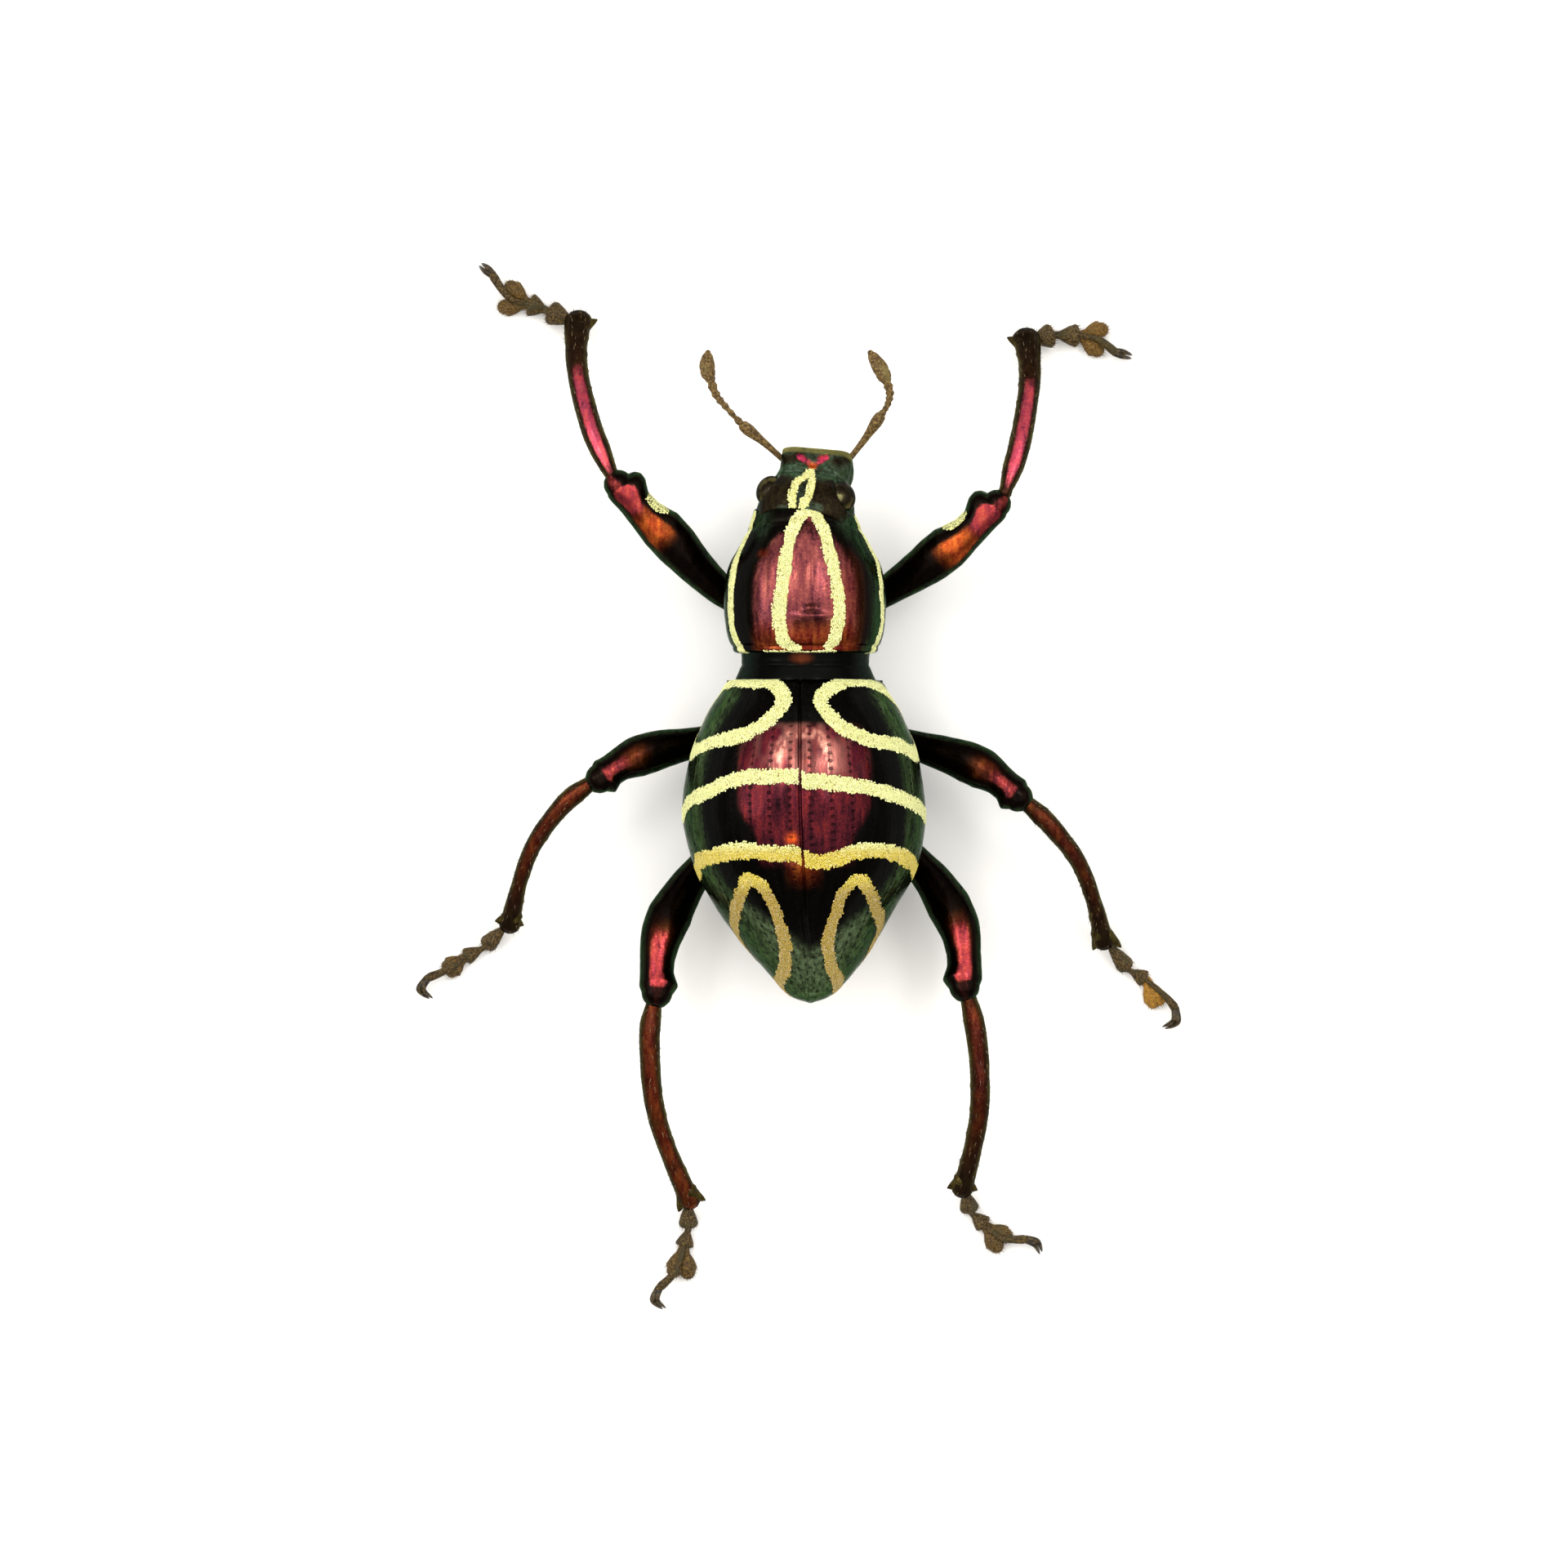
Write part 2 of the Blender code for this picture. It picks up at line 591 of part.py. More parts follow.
def make_foot(name, ankle, joints, pair):
    """Two wedge-shaped segments, a segment of two lobes, a slim last segment and a pair of claws."""
    thickness = FOOT_THICKNESS[pair]
    first, second, third, tail, tip = (Vector((*joint, 0.0)) for joint in joints)
    heel = Vector((*ankle.xy, ANKLE_Z))
    wedge = WEDGE_PROFILE
    first = first + Vector((0, 0, FIRST_JOINT_Z * thickness))
    second = second + Vector((0, 0, SECOND_JOINT_SHARE * FIRST_JOINT_Z * thickness))
    lower = SECOND_JOINT_SHARE * thickness
    pieces = []
    over = ANKLE_OVERRUN
    pieces.append(limb(name + "_first", (heel, first), wedge, PAD_STEPS, FOOT_BEVEL, thickness, over))
    pieces.append(limb(name + "_second", (first, second), wedge, PAD_STEPS, FOOT_BEVEL, lower))
    along = third - second
    along.z = 0.0
    along.normalize()
    across = Vector((-along.y, along.x, 0.0))
    for sign in (-1, 1):
        root = second + across * (LOBE_ROOT_SPREAD * sign)
        root.z = LOBE_RADIUS
        end = third + across * (LOBE_SPREAD[pair] * sign) + along * LOBE_REACH
        end.z = LOBE_RADIUS - PAD_SINK
        pieces.append(limb(name + "_lobe", (root, end), LOBE_PROFILE, PAD_STEPS, FOOT_BEVEL, LOBE_RADIUS))
    wrist = tail + Vector((0, 0, STALK_Z))
    rise = third + Vector((0, 0, STALK_Z))
    pieces.append(limb(name + "_stalk", (second, rise, wrist), STALK_PROFILE, STALK_STEPS, FOOT_BEVEL))
    reach = tip - tail
    side = Vector((-reach.y, reach.x, 0.0)).normalized()
    for sign in (-1, 1):
        middle = (tail + tip) / 2 + side * (CLAW_SPREAD * sign) + Vector((0, 0, CLAW_MIDDLE_Z))
        point = tip + side * (CLAW_TIP_SPREAD * sign) + Vector((0, 0, CLAW_TIP_Z))
        pieces.append(limb(name + "_claw", (wrist, middle, point), CLAW_PROFILE, CLAW_STEPS, CLAW_BEVEL))
    foot = fused(name, pieces)
    keep_below(foot, (0, 0, 0), (0, 0, -1))
    return foot


def make_tibia(leg, path, pair):
    """The shin, with a hooked spur at the inner corner of its end."""
    thickness = TIBIA_THICKNESS[pair]
    over = (LIMB_OVERRUN, ANKLE_OVERRUN)
    tibia = limb("tibia_" + leg, path, TIBIA_PROFILE, TIBIA_STEPS, LEG_BEVEL, thickness, *over)
    end = Vector(path[-1])
    shin = (path_point(path, 1.0) - path_point(path, 0.9)).normalized()
    inward = Vector((-end.x, 0.0, 0.0)).normalized()
    inward = (inward - shin * inward.dot(shin)).normalized()
    root = end - shin * SPUR_ROOT
    point = end + inward * SPUR_REACH[pair]
    spur = limb("spur_" + leg, (root, point), SPUR_PROFILE, SPUR_STEPS, CLAW_BEVEL)
    return fused("tibia_" + leg, [tibia, spur])


def make_leg(leg, pose, parts):
    pair = leg.split("_")[0]
    hip = Vector(pose["femur"][0])
    ankle = Vector(pose["tibia"][-1])
    coxa = dome("coxa_" + leg, (hip.x, hip.y, COXA_Z[pair]), COXA_SIZE)
    keep_below(coxa, (0, 0, COXA_TOP[pair] - JOINT_GAP), (0, 0, 1))
    thickness = FEMUR_THICKNESS[pair]
    over = (0.0, LIMB_OVERRUN)
    femur = limb("femur_" + leg, pose["femur"], FEMUR_PROFILE, FEMUR_STEPS, LEG_BEVEL, thickness, *over)
    tibia = make_tibia(leg, pose["tibia"], pair)
    outward = (path_point(pose["femur"], 0.1) - hip).normalized()
    part_at(coxa, femur, hip + outward * COXA_REACH, outward)
    bend_at(femur, tibia, pose["femur"], pose["tibia"])
    heel = Vector((*ankle.xy, ANKLE_Z))
    first_joint = Vector((*pose["foot"][0], FIRST_JOINT_Z))
    toeward = (first_joint - heel).normalized()
    foot = make_foot("tarsus_" + leg, ankle, pose["foot"], pair)
    shin = (path_point(pose["tibia"], 1.0) - path_point(pose["tibia"], 0.9)).normalized()
    part_at(tibia, foot, ankle + shin * ANKLE_DROP, shin + toeward)
    settle(coxa, "coxa_" + leg, "leg", parts)
    settle(femur, "femur_" + leg, "leg", parts)
    settle(tibia, "tibia_" + leg, "leg", parts)
    settle(foot, "tarsus_" + leg, "foot", parts)


def main():
    clear_scene()
    parts = collection_named("weevil")
    make_trunk(parts)
    make_front_body(parts)
    make_head(parts)
    for leg, pose in LEGS.items():
        make_leg(leg, pose, parts)


main()
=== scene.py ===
"""A weevil, Pachyrhynchus speciosus, life size, set as a museum specimen on a pale card."""
import math

import bpy
import numpy as np
from mathutils import Matrix, Vector
from mathutils.bvhtree import BVHTree
from mathutils.kdtree import KDTree


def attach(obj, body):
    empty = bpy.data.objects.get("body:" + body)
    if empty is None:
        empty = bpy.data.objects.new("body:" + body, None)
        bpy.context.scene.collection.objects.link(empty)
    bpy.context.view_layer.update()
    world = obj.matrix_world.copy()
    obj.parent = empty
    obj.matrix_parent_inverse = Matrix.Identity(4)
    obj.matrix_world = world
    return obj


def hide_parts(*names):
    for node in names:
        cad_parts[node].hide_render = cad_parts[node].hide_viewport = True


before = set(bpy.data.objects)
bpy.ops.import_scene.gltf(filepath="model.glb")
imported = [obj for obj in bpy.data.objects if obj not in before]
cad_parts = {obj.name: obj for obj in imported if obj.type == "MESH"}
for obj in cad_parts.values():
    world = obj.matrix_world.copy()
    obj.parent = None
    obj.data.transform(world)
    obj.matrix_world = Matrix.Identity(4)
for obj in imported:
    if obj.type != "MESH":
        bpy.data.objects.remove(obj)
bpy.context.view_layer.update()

# The view
# The insect is looked at from straight above, through a long lens, with the head at the top.


def set_out(name, data):
    """An object made from its data and set in the scene."""
    made = bpy.data.objects.new(name, data)
    bpy.context.scene.collection.objects.link(made)
    return made


lens = bpy.data.cameras.new("camera")
lens.lens = 300.0
lens.sensor_width = 36.0
lens.clip_start = 0.01
lens.clip_end = 20.0
camera = set_out("camera", lens)
camera.location = (-0.00045, 0.0000474, 0.38225)
bpy.context.scene.camera = camera
bpy.context.scene.view_settings.view_transform = "Standard"

# The card
# The set insect stands on a smooth white card, which is faintly warm and mottled where it is handled.
MM = 0.001
CARD_HALF = 900.0
CARD_CELLS = 12
CARD_WHITE = (0.93, 0.925, 0.91, 1.0)
CARD_WARM = (0.93, 0.905, 0.87, 1.0)


def feed(tree, node, inputs):
    """Feeds a node's sockets with values or with other nodes' sockets."""
    for key, value in inputs.items():
        if isinstance(value, bpy.types.NodeSocket):
            tree.links.new(value, node.inputs[key])
        else:
            node.inputs[key].default_value = value


def add(tree, kind, inputs=None, **settings):
    """A node with its settings made and its sockets fed."""
    node = tree.nodes.new(kind)
    for key, value in settings.items():
        setattr(node, key, value)
    feed(tree, node, inputs or {})
    return node


def sums(tree, operation, first, second=0.0, third=0.0):
    """One step of arithmetic between sockets or values."""
    return add(tree, "ShaderNodeMath", {0: first, 1: second, 2: third}, operation=operation).outputs[0]


def blended(tree, share, first, second, way="MIX"):
    """Two colours mixed by a share."""
    node = add(tree, "ShaderNodeMix", {0: share, 6: first, 7: second}, data_type="RGBA", blend_type=way)
    return node.outputs[2]


def eased(tree, value, low, high, start=0.0, end=1.0):
    """A value eased from one level to another between two limits."""
    inputs = {"Value": value, "From Min": low, "From Max": high, "To Min": start, "To Max": end}
    return add(tree, "ShaderNodeMapRange", inputs, interpolation_type="SMOOTHSTEP").outputs[0]


def object_place(tree):
    """Places on the object, in metres."""
    return add(tree, "ShaderNodeTexCoord").outputs["Object"]


def noise_at(tree, place, scale, detail=2.0):
    """Cloudy noise of a given fineness."""
    return add(tree, "ShaderNodeTexNoise", {"Vector": place, "Scale": scale, "Detail": detail}).outputs["Fac"]


def blank_material(name):
    """A material with its shader alone."""
    material = bpy.data.materials.new(name)
    material.use_nodes = True
    return material, material.node_tree, material.node_tree.nodes["Principled BSDF"]


def set_surface(tree, shader, colour, roughness, relief=None, others=None):
    """Gives a shader its colour, roughness, relief (height, depth in metres, strength) and other values."""
    feed(tree, shader, {"Base Color": colour, "Roughness": roughness, **(others or {})})
    if relief:
        bump = add(tree, "ShaderNodeBump", dict(zip(("Height", "Distance", "Strength"), relief)))
        tree.links.new(bump.outputs["Normal"], shader.inputs["Normal"])


card_paint, tree, shader = blank_material("white_card")
place = object_place(tree)
handled = eased(tree, noise_at(tree, place, 90.0, 3.0), 0.45, 0.75)
tooth = noise_at(tree, place, 4000.0)
set_surface(tree, shader, blended(tree, handled, CARD_WHITE, CARD_WARM), 0.8, (tooth, 0.00001, 0.3))
card_mesh = bpy.data.meshes.new("card")
card_row = CARD_CELLS + 1
card_steps = np.linspace(-CARD_HALF, CARD_HALF, card_row)
card_points = [(x * MM, y * MM, 0.0) for y in card_steps for x in card_steps]
card_corners = [card_row * i + j for i in range(CARD_CELLS) for j in range(CARD_CELLS)]
card_faces = [(first, first + 1, first + card_row + 1, first + card_row) for first in card_corners]
card_mesh.from_pydata(card_points, [], card_faces)
card_mesh.materials.append(card_paint)
card = set_out("card", card_mesh)

# The light
# A broad soft light hangs overhead, wider from side to side than from front to back, with two small upright
# lamps before the head. The room is dim at the height of the table, and a weak wide lamp stands at the left.
SKY_WIDE = 0.95
SKY_DEEP = 0.72
SKY_SHIFT = 0.10
SKY_BRIGHT = 1.45
ROOM_BRIGHT = 0.50
LAMP_SIDE = 0.37
LAMP_AHEAD = 0.34
LAMP_WIDE = 0.10
LAMP_DEEP = 0.17
LAMP_BRIGHT = 9.0
SIDE_LAMP_PLACE = (-0.42, 0.05, 0.34)
sky = bpy.data.worlds.new("soft_studio")
sky.use_nodes = True
bpy.context.scene.world = sky
tree = sky.node_tree
background = tree.nodes["Background"]


def off_middle(tree, *sides):
    """How far a direction lies off a lamp's middle, from (value, middle, reach) of each of its sides."""
    squares = []
    for value, middle, reach in sides:
        share = sums(tree, "DIVIDE", sums(tree, "SUBTRACT", value, middle), reach)
        squares.append(sums(tree, "POWER", sums(tree, "ABSOLUTE", share), 2.0))
    return sums(tree, "SQRT", sums(tree, "ADD", *squares))


direction = add(tree, "ShaderNodeTexCoord").outputs["Generated"]
axes = add(tree, "ShaderNodeSeparateXYZ", {0: direction}).outputs
above = eased(tree, axes[2], 0.0, 0.25)
spread = off_middle(tree, (axes[0], 0.0, SKY_WIDE), (axes[1], SKY_SHIFT, SKY_DEEP))
panel = sums(tree, "MULTIPLY", eased(tree, spread, 1.15, 0.75), above)
beside = sums(tree, "ABSOLUTE", axes[0])
off_lamp = off_middle(tree, (beside, LAMP_SIDE, LAMP_WIDE), (axes[1], LAMP_AHEAD, LAMP_DEEP))
lamps = sums(tree, "MULTIPLY", eased(tree, off_lamp, 1.25, 0.65), above)
level = sums(tree, "ADD", sums(tree, "MULTIPLY_ADD", panel, SKY_BRIGHT, ROOM_BRIGHT),
             sums(tree, "MULTIPLY", lamps, LAMP_BRIGHT))
# the camera itself sees a plain white room
seen = add(tree, "ShaderNodeLightPath").outputs["Is Camera Ray"]
strength = sums(tree, "ADD", sums(tree, "MULTIPLY", level, sums(tree, "SUBTRACT", 1.0, seen)), seen)
feed(tree, background, {"Strength": strength, "Color": (1.0, 0.985, 0.96, 1.0)})
lamp = bpy.data.lights.new("side_lamp", "AREA")
lamp.shape = "DISK"
lamp.size = 0.28
lamp.energy = 0.55
lamp.color = (1.0, 0.97, 0.92)
lamp_holder = set_out("side_lamp", lamp)
lamp_holder.location = SIDE_LAMP_PLACE
lamp_holder.rotation_euler = Vector(SIDE_LAMP_PLACE).to_track_quat("Z", "Y").to_euler()

# The elytra
# Two hard domed wing cases, fused along the middle over the back, of dark chitin with a thin-film shine that is
# painted into the colour by the way each part faces: purple on the crown as a painted reflection of the light
# overhead, black on the shoulders as a painted reflection of the dim room, and green on the flanks as a painted
# reflection of the white card. Pale pink glints on the crown are painted highlights. Rows of fine pits run
# along them, and raised bands of pale yellow scales cross them.
ELYTRA_STATIONS = (
    (3.18, 0.15, 2.28, 6.05, 3.80, 2.10),
    (2.75, 0.15, 2.40, 6.30, 3.78, 1.90),
    (2.05, 0.14, 2.82, 6.68, 3.75, 1.68),
    (1.00, 0.13, 3.26, 7.05, 3.72, 1.55),
    (-0.20, 0.12, 3.49, 7.25, 3.70, 1.50),
    (-1.20, 0.14, 3.49, 7.25, 3.68, 1.50),
    (-2.45, 0.18, 3.19, 7.00, 3.60, 1.55),
    (-3.60, 0.18, 2.56, 6.42, 3.45, 1.70),
    (-4.60, 0.26, 1.90, 5.58, 3.25, 1.92),
    (-5.45, 0.32, 1.24, 4.58, 3.05, 2.12),
    (-6.02, 0.31, 0.70, 3.75, 2.90, 2.32),
    (-6.28, 0.31, 0.26, 3.20, 2.82, 2.52),
)
MARGIN_Z = 2.95
MARGIN_SLOPE = 0.03
ELYTRA_FRONT_Y = 3.06
ELYTRA_REAR_Y = -6.30
SUTURE_SHIFT = ((-6.3, 0.02), (-3.3, -0.02), (-1.9, -0.10), (0.3, -0.12), (3.1, -0.15))
STRIAE = 11
PIT_SPACING = 0.23
# the middle lines of the bands: places seen from above, or as (side, y, z) down the flanks
LOOP_LEFT = (
    (-2.18, 2.87), (-1.45, 2.99), (-0.78, 2.94), (-0.47, 2.56), (-0.69, 2.11), (-1.30, 1.64), (-1.97, 1.37),
    (-3.01, 1.02), (-1, 1.05, 3.9), (-1, 1.50, 3.4), (-1, 2.20, 3.55), (-2.18, 2.87),
)
LOOP_RIGHT = (
    (2.40, 2.80), (1.87, 2.99), (1.11, 2.94), (0.59, 2.51), (0.85, 1.99), (1.37, 1.59), (2.13, 1.28),
    (2.92, 1.14), (3.26, 0.95), (1, 1.00, 3.9), (1, 1.50, 3.4), (1, 2.15, 3.55), (1, 2.62, 4.3), (2.40, 2.80),
)
MIDDLE_LEFT = ((-0.07, 0.31), (-0.69, 0.28), (-1.71, 0.21), (-2.75, -0.21), (-3.25, -0.52), (-1, -0.80, 4.2),
               (-1, -0.92, 3.05))
MIDDLE_RIGHT = ((0.09, 0.14), (0.85, 0.09), (1.87, -0.05), (2.65, -0.26), (3.45, -0.62), (1, -0.85, 4.2),
                (1, -0.95, 3.05))
WAIST_LEFT = ((-0.07, -1.97), (-0.95, -1.92), (-1.61, -1.85), (-2.23, -1.94), (-2.94, -2.20), (-1, -2.45, 4.3),
              (-1, -2.50, 3.05))
WAIST_RIGHT = ((0.14, -2.06), (0.50, -2.20), (1.11, -2.06), (1.87, -1.85), (2.65, -1.94), (3.22, -2.20),
               (1, -2.45, 4.2), (1, -2.50, 3.05))
REAR_LEFT = (
    (-1, -4.98, 2.95), (-1, -4.66, 3.42), (-1, -4.25, 3.98), (-1.89, -3.77), (-1.70, -3.06), (-1.53, -2.70),
    (-1.21, -2.80), (-0.83, -3.32), (-0.59, -3.98), (-0.43, -4.60), (-0.45, -5.26), (-0.59, -5.74),
    (-1, -6.00, 3.05),
)
REAR_RIGHT = (
    (1, -5.10, 2.95), (1, -4.82, 3.40), (1, -4.48, 3.90), (1, -4.08, 4.25), (2.23, -3.62), (1.95, -2.96),
    (1.64, -2.70), (1.21, -3.11), (0.97, -3.89), (0.81, -4.50), (0.90, -5.17), (1.12, -5.70), (1, -5.95, 3.05),
)
# the arch of painted pale pink glints (painted highlights) between the first and the second bands
GLINT = ((-0.69, 0.50), (-0.58, 1.02), (-0.32, 1.42), (0.20, 1.50), (0.60, 1.42), (0.78, 1.00), (0.90, 0.46))
ELYTRA_BANDS = (
    (LOOP_LEFT, 0.20), (LOOP_RIGHT, 0.20), (MIDDLE_LEFT, 0.185), (MIDDLE_RIGHT, 0.185), (WAIST_LEFT, 0.195),
    (WAIST_RIGHT, 0.195), (REAR_LEFT, 0.165), (REAR_RIGHT, 0.165),
)
# lanes beside the seam, as shares of the way down to the edge
SEAM_LANES = (0.003, 0.006, 0.010, 0.015, 0.022, 0.032)
# the edge turned under: shares of the half width, and heights over the edge
TUCK = ((0.992, -0.045), (0.965, -0.06), (0.93, 0.0), (0.80, 0.12), (0.40, 0.25))
# the film's painted reflection: where each colour begins and is full along y
CROWN_FRONT = (1.95, 1.50)
CROWN_REAR = (-2.60, -2.10)
BRIGHT_CROWN = (-0.1, 0.7)
CROWN_HALF = 1.95
CROWN_NARROWED = 0.60
CROWN_NARROWING = (-0.4, -1.7)
BLACK_FRONT = (2.2, 2.6)
GREEN_APEX = 4.55
# the orange triangle behind the third band, and soft spots as x, y, half width and half length: a painted
# orange reflection by the seam and a painted darker reflection under the arch of glints
TRIANGLE_HALF = 0.6
TRIANGLE_REAR = (-3.1, -2.3)
TRIANGLE_FRONT = (-2.0, -2.2)
SEAM_GLOW = (-0.22, -1.53, 0.15, 0.15)
UNDER_ARCH = (0.10, 0.85, 0.34, 0.40)
# how far from their line the glints end, and where they are full
GLINT_FADE = (0.22, 0.06)


def through(rows, places):
    """A smooth curve through rows of numbers, read at places between 0 and the last row."""
    rows = np.asarray(rows, float)
    last = len(rows) - 1
    start = np.clip(np.floor(places).astype(int), 0, last - 1)
    t = (places - start)[:, None]
    before, here, after = rows[np.maximum(start - 1, 0)], rows[start], rows[start + 1]
    beyond = rows[np.minimum(start + 2, last)]
    cubic = (3 * here - before - 3 * after + beyond) * t ** 3
    square = (2 * before - 5 * here + 4 * after - beyond) * t ** 2
    return here + 0.5 * (cubic + square + (after - before) * t)


def sections(stations):
    """Reads a body's centre, half width, top, widest level and bottom at any distance along it."""
    dense = through(stations, np.linspace(0, len(stations) - 1, 1500))
    dense = dense[np.argsort(dense[:, 0])]
    return lambda along: [np.interp(along, dense[:, 0], dense[:, k]) for k in range(1, dense.shape[1])]


def step_between(low, high, value):
    """Eases from 0 at low to 1 at high."""
    share = np.clip((value - low) / (high - low), 0.0, 1.0)
    return share * share * (3.0 - 2.0 * share)


def rounding(start, reach, along, least=0.0):
    """Falls from 1 like a quarter of a circle, over a reach from its start."""
    return np.sqrt(np.clip(1 - np.clip((along - start) / reach, 0, 1) ** 2, least, 1))


def soft_spot(x, y, middle_x, middle_y, wide, long):
    """A soft round spot: 1 in its middle, falling away over its half width and half length."""
    return np.exp(-((x - middle_x) / wide) ** 2 - ((y - middle_y) / long) ** 2)


def soft_line(value, middle, width):
    """1 on a line, falling away on both sides of it."""
    return np.exp(-((value - middle) / width) ** 2)


def off_line(rows, spots):
    """How far each point lies, seen from above, from a smooth line through a few spots."""
    line = through(spots, np.linspace(0, len(spots) - 1, 60))
    return np.min(np.linalg.norm(rows[..., None, :2] - line, axis=-1), axis=-1)


def rings(x, y, z):
    """Rings of points, each at one place along the body."""
    return np.stack([x, np.broadcast_to(y[:, None], x.shape), z], axis=-1)


def unit(ways):
    """Directions brought to a length of one."""
    return ways / np.maximum(np.linalg.norm(ways, axis=-1, keepdims=True), 1e-9)


def grain(points, size, seed):
    """Smooth random values between -1 and 1 that change over a given size."""
    spot = points / size
    cell = np.floor(spot).astype(np.int64)
    part = spot - cell
    part = part * part * (3.0 - 2.0 * part)
    total = np.zeros(points.shape[:-1])
    for corner in np.ndindex(2, 2, 2):
        at = cell + np.array(corner)
        mixed = at[..., 0] * 7385609 + at[..., 1] * 1934966 + at[..., 2] * 8349279 + seed * 26544
        value = np.sin((mixed % 100003) * 12.9898) * 43758.5453
        weight = np.prod(np.where(np.array(corner) == 1, part, 1.0 - part), axis=-1)
        total += (value - np.floor(value)) * weight
    return total * 2.0 - 1.0


def facing(rows):
    """The outward direction at each point of a grid of closed rings."""
    along = np.gradient(rows, axis=0)
    around = np.roll(rows, -1, axis=1) - np.roll(rows, 1, axis=1)
    out = unit(np.cross(around, along))
    away = rows - rows.mean(axis=1, keepdims=True)
    return out if (out * away).sum() > 0 else -out


def shell(rows):
    """Points and faces of a closed skin through rings, capped at both ends, with its faces outwards."""
    count, around = rows.shape[:2]
    points = np.vstack([rows.reshape(-1, 3), rows[0].mean(axis=0), rows[-1].mean(axis=0)])
    i, j = np.meshgrid(np.arange(count - 1), np.arange(around), indexing="ij")
    k = (j + 1) % around
    quads = np.stack([i * around + j, i * around + k, (i + 1) * around + k, (i + 1) * around + j], axis=-1)
    quads = quads.reshape(-1, 4)
    ring = np.arange(around)
    after = (ring + 1) % around
    last = (count - 1) * around
    front = np.stack([after, ring, np.full(around, count * around)], axis=-1)
    rear = np.stack([last + ring, last + after, np.full(around, count * around + 1)], axis=-1)
    corners = points[quads] - points.mean(axis=0)
    turned = np.einsum("ij,ij->i", corners[:, 0], np.cross(corners[:, 1], corners[:, 2])).sum()
    if turned < 0:
        quads, front, rear = quads[:, ::-1], front[:, ::-1], rear[:, ::-1]
    return points, quads.tolist() + front.tolist() + rear.tolist()


def set_mark(mesh, key, values):
    """A value kept on every point of a mesh."""
    kept = mesh.attributes.new(key, "FLOAT", "POINT")
    kept.data.foreach_set("value", values.astype(np.float32))


def piece(name, shells, material, marks=None):
    """One object from closed skins in millimetres, with a value of each mark kept on every point."""
    points, faces, first = [], [], 0
    for skin_points, skin_faces in shells:
        points.append(skin_points)
        faces += [[corner + first for corner in face] for face in skin_faces]
        first += len(skin_points)
    mesh = bpy.data.meshes.new(name)
    mesh.from_pydata((np.vstack(points) * MM).tolist(), [], faces)
    for key, grids in (marks or {}).items():
        grids = grids if isinstance(grids, list) else [grids]
        values = [np.append(grid.ravel(), [grid[0].mean(), grid[-1].mean()]) for grid in grids]
        set_mark(mesh, key, np.concatenate(values))
    mesh.shade_smooth()
    mesh.materials.append(material)
    return set_out(name, mesh)


def band_gaps(rows, bands):
    """How far each point of a skin lies outside the nearest band of scales; inside it is below zero."""
    points, faces = shell(rows)
    found = BVHTree.FromPolygons(points.tolist(), faces)
    middles, halves = [], []
    for spots, half in bands:
        line = []
        for spot in spots:
            if len(spot) == 2:
                hit = found.ray_cast(Vector((*spot, 30.0)), Vector((0.0, 0.0, -1.0)))[0]
                hit = hit or found.find_nearest(Vector((*spot, 3.9)))[0]
            else:
                hit = found.ray_cast(Vector((30.0 * spot[0], *spot[1:])), Vector((-spot[0], 0.0, 0.0)))[0]
                hit = hit or found.find_nearest(Vector((3.0 * spot[0], *spot[1:])))[0]
            line.append(hit[:])
        line = through(line, np.linspace(0, len(line) - 1, 40 * len(line)))
        middles.append(line)
        halves += [half] * len(line)
    middles = np.vstack(middles)
    nearest = KDTree(len(middles))
    for index, middle in enumerate(middles.tolist()):
        nearest.insert(middle, index)
    nearest.balance()
    gaps, frays = [], []
    for point in rows.reshape(-1, 3).tolist():
        middle, index, distance = nearest.find(point)
        gaps.append(distance - halves[index])
        frays.append(min(halves[index] / 0.16, 1.0) ** 2)
    gaps = np.array(gaps).reshape(rows.shape[:2])
    ragged = grain(rows, 0.10, 5) * 0.020 + grain(rows, 0.26, 6) * 0.040
    return gaps + ragged * np.reshape(frays, gaps.shape)


def new_group(name, inputs, outputs):
    """A shader node group with named inputs and outputs."""
    group = bpy.data.node_groups.new(name, "ShaderNodeTree")
    for label, kind, value in inputs:
        group.interface.new_socket(name=label, in_out="INPUT", socket_type=kind).default_value = value
    for label, kind in outputs:
        group.interface.new_socket(name=label, in_out="OUTPUT", socket_type=kind)
    return group, group.nodes.new("NodeGroupInput").outputs, group.nodes.new("NodeGroupOutput").inputs


BLACK = (0.004, 0.004, 0.004, 1.0)
VALUE, COLOUR = "NodeSocketFloat", "NodeSocketColor"

# the thin film as a painted reflection: one colour on the crown, one at its front and rear edges, one on the
# flanks, dark between
film, given, made = new_group(
    "thin_film_painted_reflection",
    (("Crown", VALUE, 0.0), ("Warm", VALUE, 0.0), ("Flank", VALUE, 0.0), ("Crown Colour", COLOUR, BLACK),
     ("Warm Colour", COLOUR, BLACK), ("Deep Colour", COLOUR, BLACK), ("Flank Colour", COLOUR, BLACK),
     ("Streak", VALUE, 0.3)),
    (("Colour", COLOUR),),
)
place = object_place(film)
stretched = add(film, "ShaderNodeMapping", {"Vector": place, "Scale": (6500.0, 1100.0, 6500.0)}).outputs[0]
streaks = noise_at(film, stretched, 1.0, 4.0)
speckle = noise_at(film, place, 14000.0)
speckle, streaks = sums(film, "SUBTRACT", speckle, 0.5), sums(film, "SUBTRACT", streaks, 0.5)
change = sums(film, "MULTIPLY_ADD", speckle, 0.55, streaks)
change = sums(film, "MULTIPLY", change, given["Streak"])
